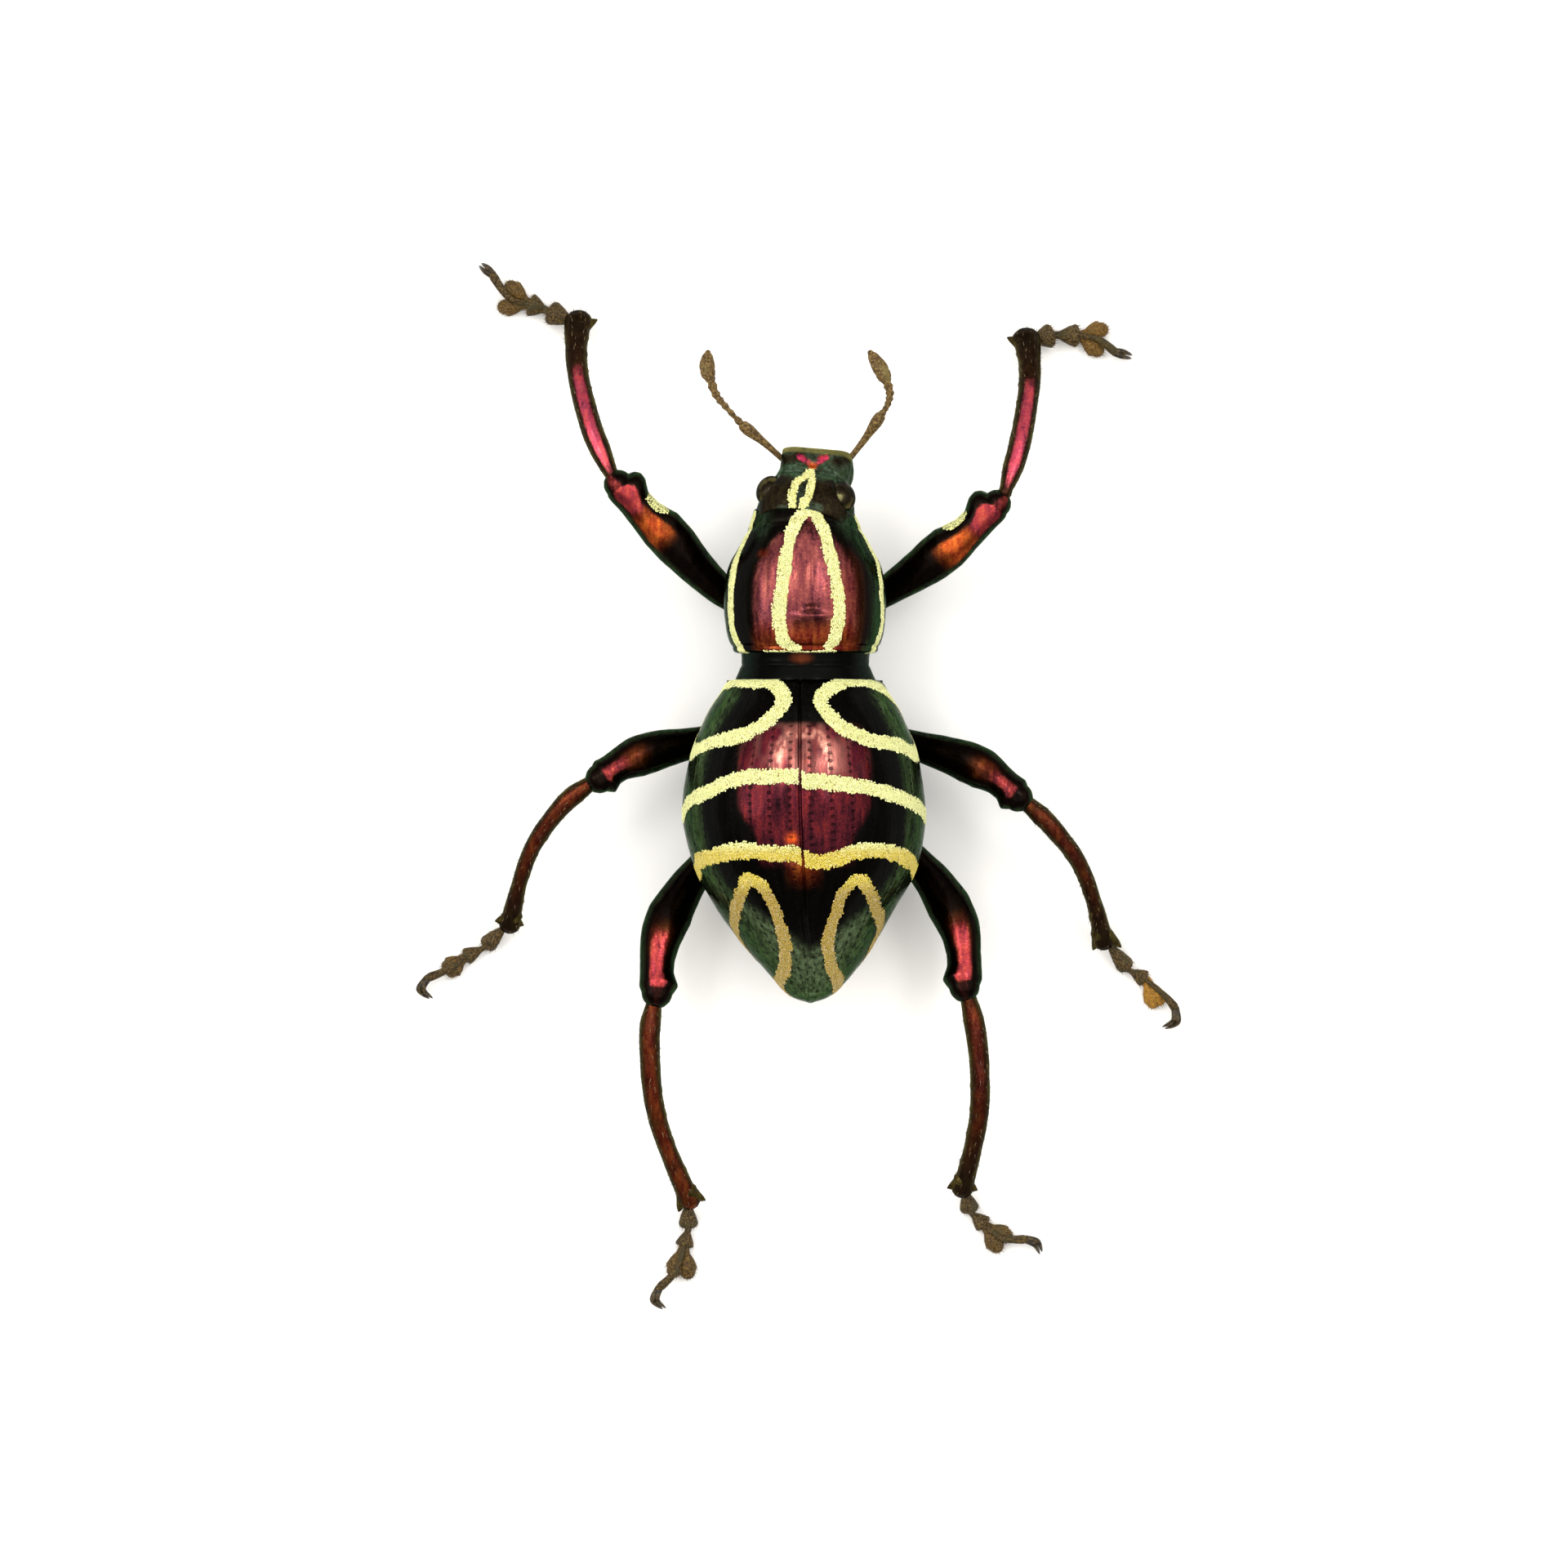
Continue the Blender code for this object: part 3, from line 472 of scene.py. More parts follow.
crown = eased(film, sums(film, "MULTIPLY_ADD", change, given["Crown"], given["Crown"]), 0.10, 0.90)
flank = add(film, "ShaderNodeClamp", {0: sums(film, "MULTIPLY_ADD", change, given["Flank"], given["Flank"])})
coloured = blended(film, flank.outputs[0], given["Deep Colour"], given["Flank Colour"])
coloured = blended(film, crown, coloured, given["Crown Colour"])
coloured = blended(film, given["Warm"], coloured, given["Warm Colour"])
varied = add(film, "ShaderNodeHueSaturation", {
    "Hue": sums(film, "MULTIPLY_ADD", change, 0.05, 0.5),
    "Value": sums(film, "MULTIPLY_ADD", change, 1.8, 1.0), "Color": coloured,
})
film.links.new(varied.outputs["Color"], made["Colour"])

# fine relief of the chitin: shallow cells, drawn grooves and a finer roughness, given as a height
relief, given, made = new_group(
    "fine_relief", (("Cell Scale", VALUE, 12000.0), ("Cells", VALUE, 0.5), ("Grooves", VALUE, 0.0)),
    (("Height", VALUE),)
)
place = object_place(relief)
drawn = add(relief, "ShaderNodeMapping", {"Vector": place, "Scale": (7000.0, 900.0, 5000.0)}).outputs[0]
inputs = {"Vector": place, "Scale": given["Cell Scale"]}
cells = add(relief, "ShaderNodeTexVoronoi", inputs).outputs["Distance"]
finer = sums(relief, "MULTIPLY_ADD", noise_at(relief, drawn, 1.0, 3.0), given["Grooves"],
             noise_at(relief, place, 26000.0, 3.0))
relief.links.new(sums(relief, "MULTIPLY_ADD", cells, given["Cells"], finer), made["Height"])

# the ground under the scales: where it lies, and its colour from pale yellow at the front to gold at the rear
ground, given, made = new_group(
    "scale_ground", (("Gap", VALUE, 1.0), ("Tone", VALUE, 0.0)), (("Mask", VALUE), ("Colour", COLOUR))
)
frayed = noise_at(ground, object_place(ground), 16000.0)
gap = sums(ground, "MULTIPLY_ADD", sums(ground, "SUBTRACT", frayed, 0.5), 0.10, given["Gap"])
ground.links.new(eased(ground, gap, 0.005, -0.02), made["Mask"])
nearer, farther = eased(ground, given["Tone"], 0.0, 0.5), eased(ground, given["Tone"], 0.5, 1.0)
golden = blended(ground, nearer, (0.70, 0.68, 0.28, 1.0), (0.60, 0.46, 0.07, 1.0))
golden = blended(ground, farther, golden, (0.32, 0.22, 0.040, 1.0))
dusky = blended(ground, 1.0, golden, (0.72, 0.68, 0.5, 1.0), "MULTIPLY")
ground.links.new(blended(ground, eased(ground, frayed, 0.60, 0.45), golden, dusky), made["Colour"])

FILM_MARKS = ("crown", "warm", "flank")
COAT_WEIGHT = 0.04


def mark_in(tree, name):
    """A mark kept on the points of a mesh."""
    return add(tree, "ShaderNodeAttribute", attribute_name=name).outputs["Fac"]


def pitted_row(tree, colour, height):
    """Rows of fine pits, each in a furrow, pressed into the relief, with painted shade in their middles."""
    stria, along = mark_in(tree, "stria"), mark_in(tree, "along")
    lane = sums(tree, "MULTIPLY", sums(tree, "SUBTRACT", sums(tree, "FRACT", stria), 0.5), 8.0)
    row = sums(tree, "MULTIPLY_ADD", sums(tree, "FLOOR", stria), 0.37, along)
    bead = sums(tree, "MULTIPLY", sums(tree, "SUBTRACT", sums(tree, "FRACT", row), 0.5), 4.4)
    far = sums(tree, "MULTIPLY_ADD", lane, lane, sums(tree, "POWER", bead, 2.0))
    pit = eased(tree, far, 1.2, 0.1)
    furrow = eased(tree, sums(tree, "ABSOLUTE", lane), 0.8, 0.0)
    dent = sums(tree, "MULTIPLY_ADD", furrow, 0.8, sums(tree, "MULTIPLY", pit, 2.2))
    # painted shade in the pits
    shaded = blended(tree, 1.0, colour, (0.25, 0.20, 0.22, 1.0), "MULTIPLY")
    colour = blended(tree, sums(tree, "MULTIPLY", pit, 0.8), colour, shaded)
    return colour, sums(tree, "MULTIPLY_ADD", dent, -2.2, height)


def chitin(name, crown, warm, deep, flank, metal=0.95, rough=0.28, streak=0.35, cells=0.5, depth=0.000004,
           grooves=0.0, scaled=False, pitted=False, painted_sheen=(0.085, 0.078, 0.020)):
    """Hard shining chitin, with its film, its relief and, where asked, ground scales and rows of pits."""
    material, tree, shader = blank_material(name)
    inputs = {key.title(): mark_in(tree, key) for key in FILM_MARKS}
    for key, colour in (("Crown", crown), ("Warm", warm), ("Deep", deep), ("Flank", flank)):
        inputs[key + " Colour"] = (*colour, 1.0)
    colour = add(tree, "ShaderNodeGroup", {**inputs, "Streak": streak}, node_tree=film).outputs["Colour"]
    # a second colour laid where a mark asks for painted glints or a painted sheen
    colour = blended(tree, mark_in(tree, "painted_sheen"), colour, (*painted_sheen, 1.0))
    inputs = {"Cell Scale": 11000.0, "Cells": cells, "Grooves": grooves}
    height = add(tree, "ShaderNodeGroup", inputs, node_tree=relief).outputs["Height"]
    worn = noise_at(tree, object_place(tree), 2500.0, 4.0)
    roughness = eased(tree, worn, 0.3, 0.7, rough - 0.06, rough + 0.08)
    coat = COAT_WEIGHT
    if pitted:
        colour, height = pitted_row(tree, colour, height)
    if scaled:
        inputs = {"Gap": mark_in(tree, "gap"), "Tone": mark_in(tree, "tone")}
        cover = add(tree, "ShaderNodeGroup", inputs, node_tree=ground).outputs
        colour = blended(tree, cover["Mask"], colour, cover["Colour"])
        bare = sums(tree, "SUBTRACT", 1.0, cover["Mask"])
        metal, coat = sums(tree, "MULTIPLY", bare, metal), sums(tree, "MULTIPLY", bare, COAT_WEIGHT)
        roughness = sums(tree, "MULTIPLY_ADD", cover["Mask"], 0.3, roughness)
    set_surface(tree, shader, colour, roughness, (height, depth, 1.0), {
        "Metallic": metal, "Coat Weight": coat, "Coat Roughness": 0.12,
        "Specular Tint": (0.30, 0.36, 0.30, 1.0),
    })
    return material


def film_painted_reflection_marks(out, wide, deep, shift, flank_limits):
    """Where the film shows its painted reflection in crown, warm-edge and flank colours, from the way the
    surface faces.
    """
    facing_y = np.abs(out[..., 1] - shift) / deep
    away = (np.abs(out[..., 0] / wide) ** 3 + facing_y ** 3) ** (1 / 3)
    away = np.where(out[..., 2] > 0, away, 3.0)
    warm = step_between(0.70, 1.0, facing_y) * step_between(1.35, 1.05, away)
    warm = warm * step_between(0.55, 0.2, np.abs(out[..., 0]))
    return step_between(1.15, 0.85, away), warm, step_between(*flank_limits, out[..., 2])


body_at = sections(ELYTRA_STATIONS)
steps = np.linspace(0.0, 1.0, 220)
steps = 0.55 * steps + 0.45 * (1 - np.cos(np.pi * steps)) / 2
elytra_y = ELYTRA_FRONT_Y + (ELYTRA_REAR_Y - ELYTRA_FRONT_Y) * steps
half_lanes = np.concatenate([SEAM_LANES, np.linspace(0.045, 1.0, 104)])
lanes = np.concatenate([-half_lanes[::-1], [0.0], half_lanes])
centre, half_width, top, level, bottom = body_at(elytra_y)
tail = rounding(6.16, 0.145, -elytra_y, 0.002)
squeeze = ((1 - 0.11 * (1 - rounding(2.80, 0.27, elytra_y))) * tail)[:, None]
margin = MARGIN_Z + MARGIN_SLOPE * elytra_y
below = np.arcsin(np.clip((level - margin) / (level - bottom), 0.0, 0.95))
shift = np.interp(elytra_y, *zip(*SUTURE_SHIFT))
seam_angle = np.arcsin(np.clip(shift / half_width, -0.5, 0.5))
side_angle = np.sign(lanes)[None, :] * (np.pi / 2 + below[:, None])
angle = seam_angle[:, None] + np.abs(lanes)[None, :] * (side_angle - seam_angle[:, None])
elytra_x = centre[:, None] + half_width[:, None] * np.sin(angle) * squeeze
rise = np.where(np.cos(angle) > 0, (top - level)[:, None], (level - bottom)[:, None])
elytra_z = level[:, None] + rise * np.cos(angle) * squeeze
tucks = [(-1, *turned) for turned in TUCK] + [(0, *turned) for turned in TUCK[::-1]]
tuck_x = [centre + (elytra_x[:, edge] - centre) * inward for edge, inward, lift in tucks]
tuck_z = [elytra_z[:, edge] + lift * tail for edge, inward, lift in tucks]
elytra_x = np.column_stack([elytra_x, *tuck_x])
elytra_z = np.column_stack([elytra_z, *tuck_z])
elytra_rows = rings(elytra_x, elytra_y, elytra_z)
elytra_out = facing(elytra_rows)
on_top = np.concatenate([np.ones(len(lanes)), np.zeros(len(tucks))])[None, :]
down = np.concatenate([np.abs(lanes), np.ones(len(tucks))])[None, :]
from_seam = down * (np.pi / 2 + below[:, None]) * half_width[:, None]
seam_fade = step_between(-6.25, -5.8, elytra_y) * (0.35 + 0.65 * step_between(-4.4, -3.2, elytra_y))
sunk = -0.05 * soft_line(from_seam, 0.0, 0.035) * seam_fade[:, None] + 0.018 * soft_line(from_seam, 0.12, 0.06)
wave = grain(elytra_rows, 1.1, 3) * 0.014 + grain(elytra_rows, 0.4, 4) * 0.004
elytra_rows = elytra_rows + elytra_out * ((sunk + wave) * on_top)[..., None]
elytra_gap = np.maximum(band_gaps(elytra_rows, ELYTRA_BANDS), 0.10 - from_seam * 1.8)
elytra_gap = np.where(on_top > 0, elytra_gap, 0.5)
x, y = elytra_rows[..., 0], elytra_rows[..., 1]
# crown, warm edge and flank are painted reflection, set by the way each point faces and then by place
crown, warm, flank = film_painted_reflection_marks(elytra_out, 0.57, 0.50, 0.03, (0.60, 0.38))
bright = step_between(*BRIGHT_CROWN, y)
crown = crown * step_between(*CROWN_REAR, y) * step_between(*CROWN_FRONT, y) * (0.60 + 0.40 * bright)
crown_half = CROWN_HALF - CROWN_NARROWED * step_between(*CROWN_NARROWING, y)
crown = crown * step_between(0.22, -0.14, np.abs(x - 0.15) - crown_half)
triangle = np.clip(1 - from_seam / TRIANGLE_HALF, 0, 1) * step_between(*TRIANGLE_REAR, y)
warm = np.clip(1.1 * soft_spot(x, y, *SEAM_GLOW) + triangle * step_between(*TRIANGLE_FRONT, y) * 0.32, 0, 1)
# painted highlights: an arch of pale pink glints broken up by noise, and a paler mottled painted sheen over the
# front of the crown
glint_breakup = grain(elytra_rows * [1.0, 0.35, 1.0], 0.07, 17)
glint = step_between(*GLINT_FADE, off_line(elytra_rows, GLINT)) * np.clip(0.50 + 1.30 * glint_breakup, 0, 1)
front_sheen = np.clip(0.15 + 0.30 * grain(elytra_rows * [1.0, 0.4, 1.0], 0.20, 18), 0, 1) * bright
front_sheen *= step_between(1.9, 0.9, np.abs(x - 0.05)) * 0.75 + 0.25
painted_sheen = np.maximum(glint, front_sheen) * step_between(0.05, 0.5, crown)
# painted darker reflection in the crown under the arch of glints
crown = crown * (1 - 0.45 * soft_spot(x, y, *UNDER_ARCH))
flank = flank * (1 - step_between(*BLACK_FRONT, y) * step_between(1.5, 0.9, np.abs(x)))
flank = np.maximum(flank, step_between(0.0, 0.55, 0.75 * np.abs(x - 0.30) - y - GREEN_APEX) * 0.9)


def golden_towards_rear(y):
    """The tone of the scales: 0 is the pale yellow of the front, 1 the gold of the rear."""
    return 0.5 * step_between(-1.5, -2.1, y) + 0.5 * step_between(-2.5, -3.3, y)


elytra_marks = {
    "crown": crown, "warm": warm, "flank": flank, "painted_sheen": painted_sheen, "gap": elytra_gap,
    "tone": golden_towards_rear(y), "stria": np.broadcast_to(down * STRIAE, y.shape),
    "along": y / PIT_SPACING,
}
elytra_chitin = chitin(
    "elytra_chitin", crown=(0.071, 0.0066, 0.0125), warm=(0.50, 0.060, 0.010), deep=(0.0022, 0.0016, 0.0012),
    flank=(0.052, 0.072, 0.036), painted_sheen=(0.43, 0.175, 0.130), rough=0.23, streak=1.4, depth=0.0000028,
    grooves=2.6, scaled=True, pitted=True,
)
elytra_shell = piece("elytra_shell", [shell(elytra_rows)], elytra_chitin, elytra_marks)
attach(elytra_shell, "root")
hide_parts("elytra")

# The underside
# Hard plates of green-black chitin close the body from below: breast, hind breast and five belly plates,
# which meet in fine grooves. Their upper edge fits up under the rim of the elytra.
GROOVES_Y = (0.70, -1.75, -2.95, -3.75, -4.45, -5.15)
GROOVE_DEEP = 0.05
UNDER_LOWEST = 1.60
UNDER_RIM = 0.3


def ring_turn(count, start=-np.pi / 2):
    """The directions of the points of a ring, from a given start."""
    return np.linspace(0.0, 2 * np.pi, count, endpoint=False) + start


under_y = np.linspace(3.05, -6.12, 190)
centre, half_width, top, level, bottom = body_at(under_y)
turn = ring_turn(120, np.pi / 2)
tail = rounding(5.98, 0.16, -under_y, 0.002)
under_x = centre[:, None] + (half_width * 0.975 * tail)[:, None] * np.cos(turn)
ceiling = (MARGIN_Z + MARGIN_SLOPE * under_y + UNDER_RIM - level)[:, None]
deep = (level - np.maximum(bottom, UNDER_LOWEST))[:, None]
under_z = level[:, None] + np.where(np.sin(turn) > 0, np.minimum(ceiling, UNDER_RIM), deep) * np.sin(turn)
under_rows = rings(under_x, under_y, under_z)
under_out = facing(under_rows)
pressed = sum(-GROOVE_DEEP * soft_line(under_y, y, 0.05) for y in GROOVES_Y)
under_rows = under_rows + under_out * (pressed[:, None] + grain(under_rows, 0.5, 8) * 0.01)[..., None]
# crown and flank colours are painted reflection, set by the way each plate faces, as on the back
under_marks = {
    "crown": step_between(-0.4, -0.9, under_out[..., 2]) * 0.7,
    "flank": step_between(-0.95, -0.3, under_out[..., 2]),
}
under_chitin = chitin(
    "underside_chitin", crown=(0.05, 0.035, 0.02), warm=(0.2, 0.05, 0.02), deep=(0.012, 0.014, 0.01),
    flank=(0.03, 0.07, 0.045), metal=0.7, rough=0.34, cells=1.6, depth=0.000008,
)
underside_plates = piece("underside_plates", [shell(under_rows)], under_chitin, under_marks)
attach(underside_plates, "root")
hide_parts("mesothorax", "metathorax", "abdomen")

# The pronotum
# A globe of hard chitin behind the head, purple-pink on the crown between black sides with a green edge, all
# painted reflection set by the way it faces, with painted shade in the dimple and under the ledge and a painted
# orange glint on the left lobe. It has a low keel, a dimple and a short ledge on the midline, and a drop-shaped
# outline of scales around them.
PRONOTUM_STATIONS = (
    (8.30, 0.12, 1.36, 5.16, 3.92, 2.74),
    (7.92, 0.12, 1.46, 5.32, 3.91, 2.62),
    (7.50, 0.14, 1.62, 5.52, 3.88, 2.42),
    (7.00, 0.15, 1.86, 5.72, 3.86, 2.20),
    (6.40, 0.15, 2.18, 5.90, 3.85, 1.98),
    (5.70, 0.15, 2.33, 6.02, 3.85, 1.84),
    (4.95, 0.16, 2.34, 6.04, 3.85, 1.80),
    (4.30, 0.17, 2.24, 5.96, 3.85, 1.84),
    (3.77, 0.18, 2.03, 5.78, 3.83, 1.98),
)
PRONOTUM_REAR_Y = 3.83
PRONOTUM_LOWEST = 2.15
NECK_Y = 7.75
RIM_Y = 8.03
NECK_SLOPE = 0.26
DROP = (
    (0.35, 7.93), (0.13, 7.86), (-0.11, 7.60), (-0.26, 7.08), (-0.40, 6.40), (-0.45, 5.85), (-0.54, 5.30),
    (-0.59, 4.88), (-0.52, 4.50), (-0.38, 4.10), (-0.20, 3.93), (0.00, 3.88),
)
DROP_RIGHT = (
    (0.35, 7.93), (0.50, 7.80), (0.69, 7.45), (0.87, 6.87), (0.98, 6.40), (1.08, 5.90), (1.14, 5.30),
    (1.17, 4.90), (1.09, 4.45), (0.92, 4.05), (0.78, 3.88),
)
SIDE_LEFT = (
    (-1, 7.75, 4.30), (-1, 7.30, 4.34), (-1, 6.90, 4.42), (-1, 6.45, 4.58), (-1, 5.90, 4.73), (-1, 5.20, 4.75),
    (-1, 4.60, 4.70), (-1, 4.25, 4.72), (-1, 3.90, 4.72),
)
SIDE_RIGHT = (
    (1, 7.70, 4.15), (1, 7.20, 4.18), (1, 6.70, 4.25), (1, 6.25, 4.38), (1, 5.80, 4.48), (1, 5.20, 4.50),
    (1, 4.70, 4.43), (1, 4.25, 4.48), (1, 3.90, 4.50),
)
REAR_LINE = ((-1.0, 3.89), (-0.5, 3.88), (0.0, 3.87), (0.6, 3.875), (1.1, 3.89))
PRONOTUM_BANDS = (
    (DROP, 0.175), (DROP_RIGHT, 0.165), (SIDE_LEFT, 0.17), (SIDE_RIGHT, 0.15), (REAR_LINE, 0.014),
)
# forms of the surface: x, y, half width and half length, and how far each rises
KEEL = (0.34, 6.15, 0.07, 0.75)
KEEL_RISE = 0.035
DIMPLE = (0.34, 5.13, 0.22, 0.10)
DIMPLE_DEEP = 0.10
LEDGE = (0.39, 4.90, 0.45, 0.08)
LEDGE_RISE = 0.07
RIBS = ((-0.83, 5.9, 0.07, 1.0), (-1.14, 5.7, 0.07, 1.0))
RIB_RISE = 0.02
# the film's painted reflection and painted shade: where along y each colour begins and is full
FRONT_DARK_REFLECTION = (7.05, 7.45)
REAR_WARM = (4.95, 4.25)
LEDGE_SHADE = (4.86, 4.74)
GREEN_CORNER = (6.9, 7.5)
# orange spots of painted reflection, the first a painted glint on the left lobe: x, y, half width and half
# length
LOBE_SPOT = (-1.04, 6.70, 0.13, 0.10)
SIDE_SPOT = (1.45, 5.2, 0.30, 1.3)


def bump_at(rows, x, y, wide, long):
    """A soft round rise on the back, seen from above."""
    return soft_spot(rows[..., 0], rows[..., 1], x, y, wide, long) * (rows[..., 2] > 4.0)


front_at = sections(PRONOTUM_STATIONS)
turn = ring_turn(210)
steps = np.linspace(0.0, 1.0, 150)
eased_steps = 0.5 * steps + 0.5 * (1 - np.cos(np.pi * steps)) / 2
base_y = PRONOTUM_REAR_Y + (RIM_Y - PRONOTUM_REAR_Y) * eased_steps
lean = step_between(0.35, 1.0, steps) * NECK_SLOPE
prono_y = np.broadcast_to(base_y[:, None], (len(steps), len(turn)))
for _ in range(3):
    centre, half_width, top, level, bottom = front_at(prono_y)
    rise = np.where(np.sin(turn) > 0, top - level, level - bottom)
    prono_z = level + rise * np.sin(turn)
    prono_y = base_y[:, None] + lean[:, None] * np.minimum(prono_z - 3.75, 0.0)
rim = 1 - 0.07 * (1 - rounding(0.965, 0.035, steps))
rim *= 1 - 0.10 * (1 - rounding(-0.035, 0.035, -steps))
prono_x = centre + half_width * np.cos(turn) * rim[:, None]
prono_z = level + rise * np.sin(turn) * rim[:, None]
under = PRONOTUM_LOWEST - prono_z
prono_z = np.where(under > 0, PRONOTUM_LOWEST - 0.20 * np.tanh(under / 0.20), prono_z)
prono_rows = np.stack([prono_x, prono_y, prono_z], axis=-1)
prono_out = facing(prono_rows)
keel = bump_at(prono_rows, *KEEL) * KEEL_RISE
dimple = bump_at(prono_rows, *DIMPLE) * -DIMPLE_DEEP
ledge = bump_at(prono_rows, *LEDGE) * LEDGE_RISE
ribs = sum(bump_at(prono_rows, *rib) for rib in RIBS) * RIB_RISE
x, y, z = np.moveaxis(prono_rows, -1, 0)
collar_dip = -0.035 * soft_line(y - 0.2 * (z - 5.0), 7.55, 0.10)
rear_dip = -0.03 * soft_line(y, 4.02, 0.06)
wave = grain(prono_rows, 0.8, 11) * 0.012 + grain(prono_rows, 0.3, 12) * 0.005
prono_rows = prono_rows + prono_out * (keel + dimple + ledge + ribs + collar_dip + rear_dip + wave)[..., None]
x, y, z = np.moveaxis(prono_rows, -1, 0)
prono_gap = np.where(z > 3.0, band_gaps(prono_rows, PRONOTUM_BANDS), 0.5)
crown, warm, flank = film_painted_reflection_marks(prono_out, 0.60, 0.48, 0.0, (0.50, 0.25))
upward = prono_out[..., 2]
beside = np.abs(x - 0.15)
# painted dark reflection over the front of the crown
front_dark_reflection = step_between(*FRONT_DARK_REFLECTION, y + 0.80 * np.maximum(beside - 0.75, 0.0))
front_dark_reflection *= 1 - 0.60 * soft_line(x, 0.33, 0.30)
rear_warm = step_between(*REAR_WARM, y) * step_between(0.4, 0.8, upward) * step_between(1.65, 1.15, beside)
# painted shade under the ledge
under_ledge_shade = step_between(*LEDGE_SHADE, y) * step_between(0.65, 0.50, np.abs(x - 0.36))
# the crown is darkened by painted shade under the ledge and in the dimple
crown = crown * (1 - front_dark_reflection) * (1 - 0.75 * under_ledge_shade) * (1 - 5.0 * np.clip(-dimple, 0, 0.16))
flank = np.maximum(flank, step_between(0.66, 0.42, upward) * step_between(-0.5, 0.9, x))
corner = step_between(0.80, 0.55, upward) * step_between(*GREEN_CORNER, y)
flank = np.maximum(flank, corner * (0.75 + 0.35 * grain(prono_rows, 0.25, 15)))
# painted orange glint on the left lobe and orange painted reflection on the right side
orange = bump_at(prono_rows, *LOBE_SPOT) + bump_at(prono_rows, *SIDE_SPOT) * 0.45
warm = np.clip((warm * 0.3 + rear_warm * 0.85 + orange) * (1 - front_dark_reflection), 0, 1)
prono_chitin = chitin(
    "pronotum_chitin", crown=(0.150, 0.032, 0.033), warm=(0.155, 0.022, 0.006), deep=(0.0026, 0.0018, 0.0010),
    flank=(0.022, 0.040, 0.020), rough=0.26, streak=1.4, cells=0.8, depth=0.0000035, grooves=2.2, scaled=True,
)
prono_marks = {"crown": crown, "warm": warm, "flank": flank, "gap": prono_gap}
pronotum_shell = piece("pronotum_shell", [shell(prono_rows)], prono_chitin, prono_marks)
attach(pronotum_shell, "root")
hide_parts("pronotum")

# The waist
# A short black ring of chitin, with a painted orange-brown sheen on its top, on which the pronotum turns
# against the trunk.
WAIST_FRONT_Y = 4.05
WAIST_FOLD_Y = 3.50
WAIST_SPOT = (0.05, 3.68, 0.34, 0.17)
waist_y = np.linspace(WAIST_FRONT_Y, 2.85, 40)
turn = ring_turn(120)
pinch = 0.91 + 0.07 * step_between(3.55, 2.9, waist_y) + 0.03 * step_between(3.6, 4.0, waist_y)
waist_x = 0.165 + ((1.98 + (WAIST_FRONT_Y - waist_y) * 0.12) * pinch)[:, None] * np.cos(turn)
waist_z = 3.81 + np.where(np.sin(turn) > 0, 1.92, 1.74) * pinch[:, None] * np.sin(turn)
waist_rows = rings(waist_x, waist_y, waist_z)
waist_out = facing(waist_rows)
folds = -0.022 * soft_line(waist_y, WAIST_FOLD_Y, 0.06)[:, None] + grain(waist_rows, 0.35, 14) * 0.012
waist_rows = waist_rows + waist_out * folds[..., None]
# painted sheen on the top of the ring
top_sheen = soft_spot(waist_rows[..., 0], waist_rows[..., 1], *WAIST_SPOT) * (waist_out[..., 2] > 0.3)
waist_marks = {"crown": top_sheen * 0.9, "flank": step_between(0.7, 0.3, waist_out[..., 2])}
waist_chitin = chitin(
    "waist_chitin", crown=(0.075, 0.016, 0.005), warm=(0.2, 0.05, 0.02), deep=(0.0014, 0.0014, 0.0012),
    flank=(0.006, 0.022, 0.015), metal=0.95, rough=0.34, cells=0.8,
)
waist = piece("waist", [shell(waist_rows)], waist_chitin, waist_marks)
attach(waist, "root")
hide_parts("collar")

# The head
# A short square-sided capsule of teal-green chitin drawn out into a broad blunt snout. The snout has a
# shallow dip with a fork-shaped groove in it, painted with a purple-red glint, a groove across its root, a
# painted olive sheen along its front edge, and a drop outlined in scales.
HEAD_STATIONS = (
    (-0.60, 0.0, 1.30, 1.24, 0.0, -1.16),
    (0.00, 0.0, 1.40, 1.34, 0.0, -1.22),
    (0.50, 0.0, 1.36, 1.26, 0.0, -1.20),
    (0.85, 0.02, 1.20, 1.08, 0.0, -1.12),
    (1.15, 0.03, 1.06, 0.94, 0.0, -1.00),
    (1.50, 0.05, 1.02, 0.80, 0.0, -0.90),
    (1.92, 0.06, 1.04, 0.66, 0.0, -0.80),
    (2.10, 0.06, 1.00, 0.54, 0.0, -0.66),
)
HEAD_SQUARENESS = 0.7
HEAD_PLACE = (
    Matrix.Translation((0.17, NECK_Y, 3.95)) @ Matrix.Rotation(math.radians(-5.0), 4, "Z")
    @ Matrix.Rotation(math.radians(-9.0), 4, "Y") @ Matrix.Rotation(math.radians(-34.0), 4, "X")
)
HEAD_DROP = ((0.35, 9.08), (0.16, 8.93), (-0.02, 8.80), (-0.15, 8.56), (-0.20, 8.30), (-0.18, 8.06))
HEAD_DROP_RIGHT = ((0.35, 9.08), (0.38, 8.85), (0.36, 8.60), (0.30, 8.38), (0.20, 8.18), (0.12, 8.06))
HEAD_BANDS = ((HEAD_DROP, 0.098), (HEAD_DROP_RIGHT, 0.088))
HEAD_TONE = 0.15
FORK = ((0.00, 9.55), (0.19, 9.42), (0.38, 9.27), (0.57, 9.40), (0.76, 9.52))
FORK_DEEP = 0.03
FORK_X = 0.38
# forms of the surface in the head's own frame: x, y, half width and half length
SNOUT_DIP = (0.05, 1.55, 0.42, 0.32)
BROW = (0.95, 0.45, 0.12, 0.40)
